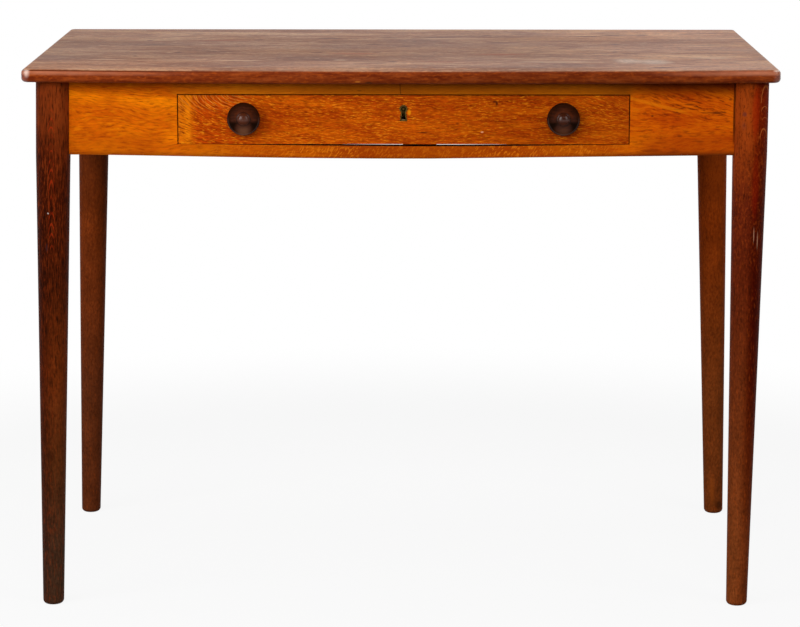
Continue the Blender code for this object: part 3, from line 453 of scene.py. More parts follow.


# Each leg's wood. Tones and the side tone's strengths go by height, as a share of the desk's, and the side
# tone lies to one side, between the two distances from the axis that turn gives; on the front left leg it
# is partly the wood's colour and partly painted shade. A mark has a centre, half sizes, a strength and a
# tone, and a ring a centre and half sizes, in X from the axis and in Z
LEG_WOODS = {
    "front_left_leg": dict(
        tones=((0.10, (69, 45, 30)), (0.27, (92, 46, 19)), (0.44, (108, 45, 13)), (0.61, (73, 26, 7)),
               (0.76, (72, 22, 5)), (0.84, (87, 31, 8)), (0.91, (127, 53, 17))),
        side_tone_and_shade=(122, 81, 110), turn=(0.012, -0.014),
        strengths=((0.10, 0.49), (0.27, 0.73), (0.84, 0.66), (0.91, 0.37)),
        arches=0.60, pores=0.75, fibres=0.60, freckles=0.26, flecks=0.22, fleck=(128, 44, 12),
        marks=(((-0.0046, 0.5430), (0.0010, 0.0009), 0.75, (204, 192, 184)),
               ((-0.0065, 0.4965), (0.0014, 0.0050), 0.6, (36, 28, 34)),
               ((-0.0024, 0.2110), (0.0050, 0.0065), 0.5, (44, 16, 6))),
    ),
    "front_right_leg": dict(
        tones=((0.10, (127, 62, 26)), (0.61, (93, 31, 10)), (0.76, (100, 32, 12)), (0.91, (156, 63, 14))),
        side_tone_and_shade=(184, 109, 38), turn=(-0.006, 0.010),
        strengths=((0.10, 0.40), (0.44, 0.99), (0.61, 0.97), (0.76, 0.70), (0.91, 0.90)),
        pores=0.36, freckles=0.30, flecks=0.55,
        marks=(((0.0040, 0.6780), (0.0045, 0.0300), 0.45, (164, 36, 4)),
               ((-0.0105, 0.6765), (0.0026, 0.0030), 0.60, (86, 42, 38)),
               ((-0.0110, 0.6610), (0.0030, 0.0050), 0.18, (120, 62, 48)),
               ((0.0065, 0.5800), (0.0045, 0.0400), 0.30, (150, 20, 2)),
               ((0.0062, 0.5150), (0.0006, 0.0090), 0.6, (204, 146, 114)),
               ((0.0115, 0.5070), (0.0008, 0.0105), 0.5, (204, 146, 114))),
        rings=(((0.0168, 0.6900), (0.0060, 0.0235)), ((0.0160, 0.6785), (0.0046, 0.0080)),
               ((0.0165, 0.6670), (0.0036, 0.0050)), ((0.0155, 0.6420), (0.0050, 0.0150))),
    ),
    "back_left_leg": dict(
        tones=((0.27, (97, 45, 21)), (0.44, (115, 50, 19)), (0.61, (122, 52, 17)), (0.76, (104, 45, 17))),
        pores=0.26, freckles=0.24, flecks=0.25,
    ),
    "back_right_leg": dict(
        tones=((0.27, (120, 57, 21)), (0.44, (136, 59, 17)), (0.61, (154, 62, 13)), (0.76, (171, 71, 16))),
        pores=0.26, freckles=0.24, flecks=0.25,
        marks=(((0.0075, 0.0140), (0.0050, 0.0060), 0.7, (52, 22, 8)),
               ((-0.0030, 0.0380), (0.0030, 0.0200), 0.5, (150, 72, 20))),
    ),
}


def leg_wood(name, axis, tones, side_tone_and_shade=(), turn=(), strengths=(), arches=0.0, pores=0.6, fibres=0.0,
             freckles=0.4, flecks=0.4, fleck=(160, 66, 18), marks=(), rings=()):
    """Wood round a leaning axis, with short pores along it and, on some, a darker side and red arches; on
    the front left leg that side is partly painted shade.
    """
    material, point, x, y, z = new_finish(name, Specular_IOR_Level=0.05, Specular_Tint=LEG_GLOSS)
    foot, slope, depth = axis
    side, front = x - (foot + z * slope), y - depth
    height = z / TOP_HIGH.z
    colour = ramp(height, *((place, linear(*tone)) for place, tone in tones))
    # The darker side: on the front left leg partly the wood's colour and partly painted shade
    if side_tone_and_shade:
        strength = ramp(height, *((place, (share, share, share)) for place, share in strengths))
        colour = mix(smooth(side, *turn) * strength, colour, linear(*side_tone_and_shade), blend="MULTIPLY")
    cloud = noise(point, (70.0, 70.0, 26.0), detail=3.0, shift=(5.0, 3.0, 8.0))
    colour = shade(colour, 1.0 + (0.5 - cloud) * 0.9)
    upper = smooth(z, 0.42, 0.60)
    if arches:
        drift = noise(point, (30.0, 30.0, 9.0), detail=2.0)
        arch_width = 0.00047
        waves = (front + z * 0.044 + (drift - 0.5) * 0.0016) / arch_width
        near = smooth(abs(side), 0.0056, 0.0030) * smooth(front, 0.0, -0.01) * smooth(z, 0.47, 0.53)
        patch = smooth(noise(point, (40.0, 40.0, 60.0), detail=1.0, shift=(2.0, 2.0, 7.0)), 0.32, 0.52)
        arch = strip(fraction(waves), 0.5, 0.05, 0.13) * near * patch * smooth(z, 0.70, 0.67)
        colour = mix(arch * arches, colour, linear(172, 44, 12))
    lines = noise(point, (560.0, 560.0, 62.0), detail=2.0, roughness=0.6)
    colour = mix(smooth(lines, 0.48, 0.34) * fibres * (0.4 + upper * 0.6), colour, linear(136, 54, 18))
    deep = 0.4 + smooth(z, 0.22, 0.42) * 0.6
    colour = mix(smooth(lines, 0.50, 0.68) * pores * deep, colour, linear(20, 6, 3))
    dashes = noise(point, (480.0, 480.0, 120.0), detail=1.5, shift=(1.0, 7.0, 2.0))
    colour = mix(smooth(dashes, 0.54, 0.72) * freckles, colour, linear(*fleck))
    specks = noise(point, (420.0, 420.0, 230.0), detail=2.0, shift=(6.0, 2.0, 4.0))
    colour = mix(smooth(specks, 0.54, 0.70) * upper * flecks, colour, linear(44, 12, 5))
    colour = mix(smooth(specks, 0.46, 0.32) * upper * flecks * 0.8, colour, linear(*fleck))
    colour = shade(colour, 1.0 + (0.5 - specks) * (1.0 - upper) * 1.4)
    for centre, reach in rings:
        ring = strip(distance(side, z, centre, reach), 1.0, 0.02, 0.10)
        above = smooth(z, centre[1], centre[1] + 0.004)
        colour = mix(ring * above * 0.6, colour, linear(206, 112, 52))
    for centre, reach, strength, tone in marks:
        colour = mix(spot(side, z, centre, reach, 0.5) * strength, colour, linear(*tone))
    return apply_finish(material, colour, 0.5 + lines * 0.2, lines, depth=0.0003, strength=0.35)


# Marks on the top's face: centre, and half length and half depth, in X and Y
TOP_DARK = (
    ((-0.3637, 0.1067), (0.0043, 0.0056)), ((-0.3650, -0.1153), (0.0027, 0.0051)),
    ((-0.2069, 0.1190), (0.0072, 0.0057)), ((-0.1032, 0.1399), (0.0160, 0.0057)),
    ((-0.0189, 0.1485), (0.0131, 0.0058)), ((-0.0395, 0.0507), (0.0114, 0.0055)),
    ((0.0061, 0.0293), (0.0057, 0.0055)), ((-0.3039, 0.0405), (0.0085, 0.0055)),
    ((-0.3098, -0.0665), (0.0055, 0.0052)), ((-0.2562, -0.0590), (0.0181, 0.0053)),
    ((-0.1157, -0.0644), (0.0083, 0.0052)), ((-0.0345, -0.0677), (0.0062, 0.0052)),
    ((-0.1125, -0.1663), (0.0217, 0.0049)), ((-0.0122, -0.1850), (0.0081, 0.0049)),
    ((0.0510, 0.1570), (0.0248, 0.0058)), ((0.1247, 0.1857), (0.0073, 0.0058)),
    ((0.1421, 0.0748), (0.0244, 0.0056)), ((0.2709, 0.1749), (0.0191, 0.0058)),
    ((0.3071, 0.1908), (0.0162, 0.0058)), ((0.3533, 0.1992), (0.0088, 0.0058)),
    ((0.3040, 0.0545), (0.0071, 0.0055)), ((0.2695, -0.0700), (0.0332, 0.0052)),
    ((0.2962, -0.0530), (0.0049, 0.0053)), ((0.3162, -0.0751), (0.0138, 0.0052)),
    ((0.4312, -0.0725), (0.0485, 0.0037)), ((0.3455, -0.2585), (0.0159, 0.0047)),
)
TOP_ORANGE = (
    ((-0.0655, -0.0792), (0.0332, 0.0110)), ((0.1401, -0.0894), (0.0317, 0.0100)),
    ((0.0551, -0.1908), (0.0296, 0.0065)), ((-0.3946, 0.1291), (0.0145, 0.0076)),
    ((-0.2586, 0.1124), (0.0390, 0.0075)),
)
TOP_PALE = (
    ((-0.4000, -0.1627), (0.0217, 0.0066)), ((-0.2218, -0.1740), (0.0311, 0.0066)),
    ((-0.0827, -0.1659), (0.0081, 0.0066)), ((0.0771, 0.1373), (0.0509, 0.0076)),
    ((0.2139, -0.1892), (0.0538, 0.0065)), ((0.3588, -0.1942), (0.0081, 0.0065)),
    ((0.4211, -0.1339), (0.0273, 0.0125)),
)

# Dull smudges about the middle of the top's face, and round pale stains near its front right
TOP_SMUDGES = (((-0.0885, 0.0280), (0.0350, 0.0600)), ((0.0150, 0.0900), (0.0450, 0.0500)))
TOP_STAINS = (((0.3071, -0.1750), (0.0160, 0.0250)), ((0.3400, -0.1850), (0.0170, 0.0280)))


def mark_top(colour, x, across, marks, tone, strength, soft=0.5):
    """Oval marks of one tone on the top's face."""
    for centre, reach in marks:
        colour = mix(spot(x, across, centre, reach, soft) * strength, colour, linear(*tone))
    return colour


def top_wood():
    """Faded brown on the flat with fine dashes and stains, red-brown gloss round the edge."""
    material, point, x, y, z = new_finish(
        "top_wood", Specular_IOR_Level=0.08, Specular_Tint=LEG_GLOSS, Coat_Roughness=0.2
    )
    drift = noise(point, (5.0, 9.0, 5.0), detail=2.0)
    ripple = noise(point, (24.0, 30.0, 5.0), detail=2.0, shift=(2.0, 5.0, 1.0))
    across = y + (drift - 0.5) * 0.03 + (ripple - 0.5) * 0.014
    flow = join(x, across, z)
    broad = noise(flow, (4.0, 16.0, 3.0), detail=3.0, roughness=0.6)
    faded = ramp(
        broad, (0.28, linear(124, 70, 40)), (0.50, linear(166, 108, 70)), (0.72, linear(204, 152, 110))
    )
    back, front = smooth(y, 0.06, 0.25), smooth(y, -0.10, -0.25)
    # Lighter towards the back and the right: paler wood, and towards the right a painted sheen as well
    light = 0.80 + back * 0.20 + smooth(x, 0.14, 0.40) * (0.42 + back * 0.12)
    faded = shade(faded, light + front * (0.41 - smooth(x, -0.3, 0.3) * 0.24))
    rings = noise(flow, (1.6, 7.0, 2.0), detail=1.0, shift=(3.0, 3.0, 0.0)) * 14.0
    figure = strip(fraction(rings), 0.5, 0.05, 0.14)
    faded = mix(figure * 0.42, faded, linear(114, 54, 24))
    wavy = y + (ripple - 0.5) * 0.012
    faded = mark_top(faded, x, wavy, TOP_STAINS, (228, 197, 174), 0.68, soft=0.8)
    faded = mark_top(faded, x, wavy, TOP_SMUDGES, (104, 62, 48), 0.38, soft=0.9)
    fine = noise(flow, (140.0, 420.0, 7.0), detail=2.0, roughness=0.6, shift=(1.0, 2.0, 3.0))
    faded = shade(faded, 1.0 + (0.5 - fine) * 1.9)
    streaks = noise(flow, (36.0, 125.0, 7.0), detail=4.0, roughness=0.72)
    faded = mix(smooth(streaks, 0.53, 0.68) * 0.75, faded, linear(122, 56, 23))
    faded = mix(smooth(streaks, 0.46, 0.32) * 0.55, faded, linear(214, 166, 126))
    faded = mark_top(faded, x, wavy, TOP_DARK, (92, 34, 10), 0.85)
    faded = mark_top(faded, x, wavy, TOP_ORANGE, (156, 74, 32), 0.6)
    faded = mark_top(faded, x, wavy, TOP_PALE, (222, 182, 148), 0.42)
    sag = 1.0 - x * x / TOP_HIGH.x ** 2
    level = TOP_HIGH.z - z - sag * smooth(y, -LIP_START, TOP_LOW.y) * LIP_DROOP
    flat = smooth(level, 0.0012, 0.0002)
    colour = mix(flat, mark_edge(edge_red(flow), flow, x, y, level), faded)
    haze = 0.15 + back * 0.05 + smooth(x, 0.12, 0.40) * 0.09 + front * smooth(x, -0.35, 0.0) * 0.05
    haze = haze + (noise(flow, (5.0, 12.0, 5.0), detail=2.0, shift=(8.0, 1.0, 1.0)) - 0.5) * 0.24
    rounding = smooth(level, 0.0040, 0.0010) * smooth(x, -0.40, -0.30) * 0.3
    rounding = rounding + smooth(abs(x), 0.488, 0.494) * 0.9
    roughness = 0.34 + flat * 0.2 + streaks * 0.1
    polish = rounding + (haze - rounding) * flat
    return apply_finish(material, colour, roughness, streaks, depth=0.0003, strength=0.3, polish=polish)


def edge_red(flow):
    """Red-brown with short orange and dark dashes."""
    colour = ramp(
        noise(flow, (26.0, 160.0, 200.0), detail=3.0),
        (0.3, linear(106, 36, 12)), (0.5, linear(130, 52, 18)), (0.7, linear(150, 68, 28)),
    )
    dashes = noise(flow, (130.0, 300.0, 420.0), detail=2.0, roughness=0.6, shift=(2.0, 4.0, 6.0))
    colour = mix(smooth(dashes, 0.52, 0.68) * 0.4, colour, linear(186, 84, 24))
    return mix(smooth(dashes, 0.47, 0.33) * 0.4, colour, linear(88, 28, 10))


def mark_edge(colour, flow, x, y, level):
    """The edge's painted light and shade, darker over its right half and lower side, with painted
    highlights at its ends and corners, and two chips.
    """
    # Painted light and shade: the edge is lightest at the left, darker over its middle and right half, and
    # lighter again near the right end
    run = ((0.0, 1.0), (0.25, 0.98), (0.50, 0.84), (0.65, 0.72), (0.82, 0.76), (0.95, 0.9))
    greys = ramp(x + 0.5, *((place, (share, share, share)) for place, share in run))
    colour = mix(1.0, colour, greys, blend="MULTIPLY")
    # Painted light and shade: lighter on the upper rounding, darker low on the middle and right
    dark_side = smooth(level, 0.008, 0.013) * smooth(x, -0.25, 0.10) * 0.14
    colour = shade(colour, 0.99 + smooth(level, 0.008, 0.002) * 0.11 - dark_side)
    # Painted highlights on the upper rounding at both ends, broken into patches by noise
    ends = smooth(x, -0.24, -0.47) * 0.60 + smooth(x, 0.30, 0.49) * 0.7
    worn = 0.35 + noise(flow, (60.0, 60.0, 160.0), detail=3.0) * 1.1
    colour = mix(strip(level, 0.0040, 0.0008, 0.0040) * ends * worn, colour, linear(198, 124, 92))
    line = strip(level, 0.0012, 0.0006, 0.0008) * smooth(x, -0.10, -0.40)
    colour = mix(line * 0.9, colour, linear(88, 32, 12))
    front = smooth(y, TOP_LOW.y + 0.02, TOP_LOW.y + 0.01)
    chips = (
        ((-0.0565, 0.0138), (0.0034, 0.0010), 0.6, (206, 120, 44)),
        ((-0.0415, 0.0150), (0.0050, 0.0012), 0.8, (56, 26, 12)),
    )
    for centre, reach, strength, tone in chips:
        colour = mix(spot(x, level, centre, reach) * front * strength, colour, linear(*tone))
    # Painted highlights on the front left corner and along the front of the right end's arris
    left_corner = spot(x, level, (-0.4920, 0.0040), (0.0030, 0.0050), 0.8) * front * 0.75
    right_corner = smooth(x, 0.4880, 0.4940) * smooth(level, 0.0032, 0.0012) * smooth(y, 0.02, -0.16)
    return mix((left_corner + right_corner) * 0.85, colour, linear(248, 218, 202))


def bare_softwood():
    """Planed softwood of the hidden pieces, unfinished and a little dusty."""
    material, point, x, y, z = new_finish("bare_softwood", Specular_IOR_Level=0.2)
    drift = noise(point, (14.0, 14.0, 14.0), detail=2.0)
    flow = join(x + (drift - 0.5) * 0.02, y, z + (drift - 0.5) * 0.02)
    rings = noise(flow, (110.0, 4.0, 110.0), detail=3.0)
    colour = ramp(
        rings, (0.32, linear(176, 132, 84)), (0.52, linear(202, 162, 112)), (0.70, linear(188, 140, 88))
    )
    grain = noise(flow, (700.0, 20.0, 700.0), detail=2.0)
    colour = mix(smooth(grain, 0.56, 0.72) * 0.4, colour, linear(140, 94, 54))
    return apply_finish(material, colour, 0.6 + grain * 0.2, grain, depth=0.0002, strength=0.3)


def knob_wood():
    """Very dark turned hardwood, polished on its nub and face, with painted dark reflections low on both
    sides, a painted floor reflection low in the middle, painted light above the nub and on the lower lip,
    and painted shade in the nub's cove.
    """
    material, point, x, _, z = new_finish(
        "knob_wood", Specular_IOR_Level=0.06, Specular_Tint=LEG_GLOSS, Coat_Roughness=0.27
    )
    grain = noise(point, (90.0, 90.0, 420.0), detail=3.0)
    colour = ramp(grain, (0.32, linear(39, 12, 3)), (0.52, linear(52, 18, 5)), (0.70, linear(67, 26, 8)))
    low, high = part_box("right_knob")
    middle = (DRAWER_LOW.x + DRAWER_HIGH.x) / 2
    out, up = abs(x - middle) - ((low.x + high.x) / 2 - middle), z - (low.z + high.z) / 2
    away = (out * out + up * up) ** 0.5
    left = smooth(x, 0.1, -0.1)
    colour = shade(colour, 0.85 + left * 0.20)
    rim = smooth(away, 0.0145, 0.0195)
    colour = mix(rim * 0.5, colour, linear(20, 7, 3))
    # Painted light: a lighter ring on the face just above the nub
    glow = strip(away, 0.0105, 0.0005, 0.0040) * smooth(up, -0.002, 0.006)
    colour = mix(glow * 0.26, colour, linear(108, 46, 18))
    # Painted shade: a dark ring in the cove at the nub's foot
    colour = mix(strip(away, 0.0090, 0.0003, 0.0010) * 0.6, colour, linear(24, 8, 4))
    nub = smooth(away, 0.0088, 0.0074)
    colour = mix(nub * (0.2 + left * 0.4), colour, linear(90, 43, 24))
    # Painted dark reflections low on both sides of the face
    black = smooth(abs(out) + up * 0.5, 0.002, 0.009) * smooth(up, -0.001, -0.006)
    colour = mix(black * 0.9, colour, linear(8, 4, 3))
    # Painted reflection of the pale floor, low in the middle of the face
    brown = smooth(up, -0.006, -0.015) * smooth(abs(out), 0.012, 0.002)
    colour = mix(brown * (0.34 + left * 0.5), colour, linear(98, 60, 40))
    # Painted highlight: a pale grey band on the lower part of the lip
    lip = smooth(away, 0.0190, 0.0202) * smooth(up, 0.006, -0.004) * smooth(away, 0.0214, 0.0208)
    colour = mix(lip * 0.15, colour, linear(128, 100, 94))
    gloss = smooth(up, -0.004, 0.001)
    polish = (0.15 + nub * (gloss * 0.85 - 0.05)) * (1.0 - black) * (1.0 - rim * 0.9)
    roughness = 0.4 + grain * 0.1
    return apply_finish(material, colour, roughness, grain, depth=0.0001, strength=0.12, polish=polish)


# Metals


def aged_brass():
    """The lock's brass, brown where it has tarnished."""
    material, point, *_ = new_finish("aged_brass", Metallic=1.0)
    tarnish = noise(point, (420.0, 420.0, 420.0), detail=3.0)
    colour = ramp(
        tarnish, (0.34, linear(58, 46, 22)), (0.52, linear(104, 84, 40)), (0.7, linear(150, 122, 62))
    )
    return apply_finish(material, colour, 0.38 + tarnish * 0.25, tarnish, depth=0.0001, strength=0.2)


def dark_brass():
    """The keyhole's liner: dull olive on its face, with painted shade that makes it black inside and a
    painted highlight on a ledge at the bottom.
    """
    material, point, x, y, z = new_finish("dark_brass", Metallic=0.3, Specular_IOR_Level=0.2)
    low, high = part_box("escutcheon")
    tarnish = noise(point, (420.0, 420.0, 420.0), detail=3.0)
    colour = ramp(
        tarnish, (0.34, linear(72, 50, 12)), (0.52, linear(96, 70, 20)), (0.7, linear(118, 90, 30))
    )
    # Painted shade: black on the faces inside the keyhole
    inside = smooth(y, low.y + 0.0005, low.y + 0.0012)
    colour = mix(inside, colour, linear(6, 4, 3))
    # Painted highlight on a ledge at the bottom of the keyhole
    ledge = spot(x, z, ((low.x + high.x) / 2, low.z + 0.0020), (0.0024, 0.0013)) * inside
    colour = mix(ledge * 0.9, colour, linear(220, 196, 170))
    return apply_finish(material, colour, 0.5 + tarnish * 0.2, tarnish, depth=0.0001, strength=0.2)


def steel_screw():
    """Dull steel with a trace of rust."""
    material, point, *_ = new_finish("steel_screw", Metallic=1.0)
    wear = noise(point, (600.0, 600.0, 600.0), detail=3.0)
    colour = ramp(
        wear, (0.34, linear(92, 88, 84)), (0.54, linear(146, 142, 136)), (0.72, linear(120, 98, 78))
    )
    return apply_finish(material, colour, 0.34 + wear * 0.25, wear, depth=0.0001, strength=0.2)


# Shapes


def whole(node):
    """A node's solid, with its loose triangles merged and its flat faces made whole."""
    shape = bmesh.new()
    shape.from_mesh(frame["nodes"][node].data)
    bmesh.ops.remove_doubles(shape, verts=shape.verts, dist=MERGE_DISTANCE)
    bmesh.ops.dissolve_limit(
        shape, angle_limit=FLAT_ANGLE, verts=shape.verts, edges=shape.edges, delimit=set()
    )
    return shape


def soften(shape, radius, chosen, steps=EDGE_STEPS):
    """Round the sharp outer edges that chosen picks."""
    edges = [
        edge for edge in shape.edges
        if edge.is_convex and edge.calc_face_angle(0.0) > CORNER_ANGLE and chosen(edge)
    ]
    bmesh.ops.bevel(
        shape, geom=edges, offset=radius, segments=steps, profile=0.5, affect="EDGES", material=-1,
        clamp_overlap=True,
    )
    return shape


def at_front(face):
    """Picks the edges that lie on a front face at this depth."""

    def chosen(edge):
        return all(vert.co.y < face + FACE_TOLERANCE for vert in edge.verts)

    return chosen


def turned(profile, steps):
    """A profile of radius and height spun round Z, closed at both ends on the axis."""
    shape = bmesh.new()
    points = [shape.verts.new((radius, 0.0, height)) for radius, height in profile]
    edges = [shape.edges.new(pair) for pair in zip(points, points[1:])]
    bmesh.ops.spin(
        shape, geom=points + edges, axis=(0, 0, 1), cent=(0, 0, 0), dvec=(0, 0, 0),
        angle=math.tau, steps=steps, use_merge=True,
    )
    bmesh.ops.remove_doubles(shape, verts=shape.verts, dist=MERGE_DISTANCE)
    bmesh.ops.recalc_face_normals(shape, faces=shape.faces)
    return shape


def arc(centre, radius, start, end, steps=ROUND_STEPS):
    """Points of a profile round a centre, from one angle to another."""
    turns = [start + (end - start) * step / steps for step in range(steps + 1)]
    return [(centre[0] + radius * math.cos(t), centre[1] + radius * math.sin(t)) for t in turns]


def carved(shape, *nodes):
    """The shape less the solids of some nodes, which leaves the mortises for their tenons."""
    base = bare_object("base", shape)
    tools = []
    for node in nodes:
        tool = bare_object(f"tool_{node}", whole(node))
        step = base.modifiers.new(node, "BOOLEAN")
        step.operation = "DIFFERENCE"
        step.object = tool
        tools.append(tool)
    view = bpy.context.evaluated_depsgraph_get()
    result = bmesh.new()
    result.from_object(base, view)
    for used in (base, *tools):
        mesh = used.data
        bpy.data.objects.remove(used)
        bpy.data.meshes.remove(mesh)
    return result


def bare_object(name, shape):
    """An object in the scene that takes over a shape."""
    mesh = bpy.data.meshes.new(name)
    shape.to_mesh(mesh)
    shape.free()
    made = bpy.data.objects.new(name, mesh)
    bpy.context.scene.collection.objects.link(made)
    return made


def finished(node, shape, material):
    """A piece that stands for a node, on its body and with its slot."""
    piece = bare_object(f"{node}_finished", shape)
    piece.data.shade_smooth()
    piece.data.set_sharp_from_angle(angle=SHARP_ANGLE)
    piece.data.materials.append(material)
    weighted = piece.modifiers.new("even_faces", "WEIGHTED_NORMAL")
    weighted.keep_sharp = True
    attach(piece, NODE_BODY[node])
    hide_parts(node)
    return piece


def finish_top():
    """The top with rounded corners and edges, and a front lip that droops in the middle."""
    middle, size = (TOP_LOW + TOP_HIGH) / 2, TOP_HIGH - TOP_LOW
    shape = bmesh.new()
    bmesh.ops.create_cube(
        shape, size=1.0, matrix=Matrix.Translation(middle) @ Matrix.Diagonal(size).to_4x4()
    )
    upright = [edge for edge in shape.edges if abs(edge.verts[0].co.z - edge.verts[1].co.z) > size.z / 2]
    bmesh.ops.bevel(
        shape, geom=upright, offset=TOP_CORNER_RADIUS, segments=ROUND_STEPS, profile=0.5,
        affect="EDGES", material=-1,
    )
    rims = [
        edge for edge in shape.edges
        if (edge.verts[0].co.z - middle.z) * (edge.verts[1].co.z - middle.z) > 0.0
    ]
    bmesh.ops.bevel(
        shape, geom=rims, offset=TOP_EDGE_RADIUS, segments=ROUND_STEPS, profile=0.5,
        affect="EDGES", material=-1,
    )
    inner = size.x / 2 - TOP_CORNER_RADIUS
    for cut in range(TOP_CUTS + 1):
        cut_across(shape, (inner * (2 * cut / TOP_CUTS - 1), 0, 0), (1, 0, 0))
    lip = -LIP_START - TOP_LOW.y - TOP_EDGE_RADIUS
    for cut in range(EDGE_STEPS + 1):
        cut_across(shape, (0, -LIP_START - lip * cut / EDGE_STEPS, 0), (0, 1, 0))
    for vert in shape.verts:
        share = min(max((-vert.co.y - LIP_START) / (-TOP_LOW.y - LIP_START), 0.0), 1.0)
        ease = share * share * (3.0 - 2.0 * share)
        vert.co.z -= LIP_DROOP * ease * (1.0 - (vert.co.x / TOP_HIGH.x) ** 2)
    finished("top", shape, top_wood())


def cut_across(shape, place, facing):
    """New edges where a plane meets the shape."""
    everything = shape.verts[:] + shape.edges[:] + shape.faces[:]
    bmesh.ops.bisect_plane(
        shape, geom=everything, dist=MERGE_DISTANCE, plane_co=place, plane_no=facing
    )


def leg_axis(node):
    """Where a leg's axis meets the floor, how it moves across as it rises, and its depth."""
    mesh = frame["nodes"][node].data
    head = max(vert.co.z for vert in mesh.vertices)
    rings = []
    for level in (0.0, head):
        ring = [vert.co for vert in mesh.vertices if abs(vert.co.z - level) < LEVEL_TOLERANCE]
        rings.append([(min(co[axis] for co in ring) + max(co[axis] for co in ring)) / 2 for axis in (0, 1)])
    (foot_x, foot_y), (head_x, _) = rings
    return foot_x, (head_x - foot_x) / head, foot_y


def finish_leg(node, aprons, **wood):
    """A leg turned with a finely rounded foot, leaned as its solid is, with mortises for its aprons."""
    axis = leg_axis(node)
    foot, slope, depth = axis
    round_foot = arc(
        (FOOT_DIAMETER / 2 - FOOT_ROUND, FOOT_ROUND), FOOT_ROUND, -math.pi / 2, 0.0
    )
    head = TOP_LOW.z - LEG_GAP
    radius = LEG_DIAMETER / 2
    profile = [(0.0, 0.0), *round_foot, (radius, APRON_LOW), (radius, head), (0.0, head)]
    shape = turned(profile, LEG_STEPS)
    lean = Matrix.Translation((foot, depth, 0.0))
    lean[0][2] = slope
    bmesh.ops.transform(shape, matrix=lean, verts=shape.verts)
    finished(node, carved(shape, *aprons), leg_wood(f"{node}_wood", axis, **wood))


def lean_strip(shape):
    """The strip under the drawer sags most a little to the right of the middle."""
    half = (DRAWER_HIGH.x - DRAWER_LOW.x) / 2
    for vert in shape.verts:
        share = (vert.co.x - DRAWER_LOW.x) / half - 1.0
        if abs(share) < 1.0 and 0.0 < DRAWER_LOW.z - vert.co.z < STRIP_DEPTH:
            vert.co.z -= STRIP_LEAN * (vert.co.x - STRIP_PIVOT) * (1.0 - share * share)
    return shape


def finish_aprons():
    """The front apron with its front edges softened, and the other three."""
    on_face = at_front(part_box("front_apron")[0].y)
    front = soften(lean_strip(whole("front_apron")), BOARD_EDGE, on_face)
    finished("front_apron", front, apron_oak("front_apron_oak", "X", face_marks=True))
    for node, along in (("back_apron", "X"), ("left_apron", "Y"), ("right_apron", "Y")):
        finished(node, whole(node), apron_oak(f"{node}_oak", along))


def finish_drawer_front():
    """The drawer's front with its outline softened, but not the holes in it."""
    on_face = at_front(DRAWER_LOW.y)

    def outline(edge):
        on_rim = any(
            all(abs(vert.co[axis] - side[axis]) < FACE_TOLERANCE for vert in edge.verts)
            for axis in (0, 2) for side in (DRAWER_LOW, DRAWER_HIGH)
        )
        return on_face(edge) and on_rim

    finished("drawer_front", soften(whole("drawer_front"), DRAWER_EDGE, outline), drawer_oak())


def knob_profile():
    """From the seat out: a coved stem, a round rim, a low cone, a small cove and a nub."""
    low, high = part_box("left_knob")
    edge = (high.x - low.x - KNOB_RIM) / 2
    face = KNOB_STEM_LENGTH + KNOB_RIM
    crown = face + KNOB_DOME
    turns = [math.pi / 2 * step / ROUND_STEPS for step in range(ROUND_STEPS + 1)]
    seat = high.y - DRAWER_LOW.y
    cove = [
        (KNOB_STEM_RADIUS + (edge - KNOB_STEM_RADIUS) * (1 - math.cos(t)), KNOB_STEM_LENGTH * math.sin(t))
        for t in turns[1:-1]
    ]
    half = KNOB_RIM / 2
    rim = arc((edge, KNOB_STEM_LENGTH + half), half, -math.pi / 2, 0.0)
    lip = edge + half - KNOB_LIP
    rim += [(lip + KNOB_LIP * math.cos(t), face - half + half * math.sin(t)) for t in turns[1:]]
    foot = KNOB_NUB_RADIUS + KNOB_NUB_COVE
    dome = [(lip + (foot - lip) * math.sin(t), face + KNOB_DOME * math.sin(t)) for t in turns[1:]]
    nub = [(KNOB_NUB_RADIUS * math.cos(t), crown + KNOB_NUB_HEIGHT * math.sin(t)) for t in turns[1:-1]]
    stem = [(0.0, -seat), (KNOB_STEM_RADIUS, -seat)]
    return stem + cove + rim + dome + nub + [(0.0, crown + KNOB_NUB_HEIGHT)]


def finish_knobs():
    """Both knobs, with the holes of their screws."""
    wood = knob_wood()
    for node in ("left_knob", "right_knob"):
        low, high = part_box(node)
        shape = turned(knob_profile(), KNOB_STEPS)
        place = Matrix.Translation(((low.x + high.x) / 2, DRAWER_LOW.y, (low.z + high.z) / 2))
        bmesh.ops.transform(shape, matrix=place @ Matrix.Rotation(math.pi / 2, 4, "X"), verts=shape.verts)
        finished(node, carved(shape, f"{node}_screw"), wood)


def finish_escutcheon():
    """The keyhole's liner, a little thicker in the wall, with its front edges worn round."""
    low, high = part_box("escutcheon")
    middle, head = (low.x + high.x) / 2, (high.x - low.x) / 2
    centre = Vector((middle, 0.0, high.z - head))
    shape = whole("escutcheon")
    for vert in shape.verts:
        inward = Vector((centre.x - vert.co.x, 0.0, centre.z - vert.co.z))
        inside_head = inward.length < head - LINER_GROWTH / 2
        inside_foot = low.z + LINER_GROWTH / 2 < vert.co.z < centre.z - head
        if inside_head or inside_foot:
            vert.co += inward.normalized() * LINER_GROWTH
    finished("escutcheon", soften(shape, LINER_EDGE, at_front(low.y)), dark_brass())


# The studio


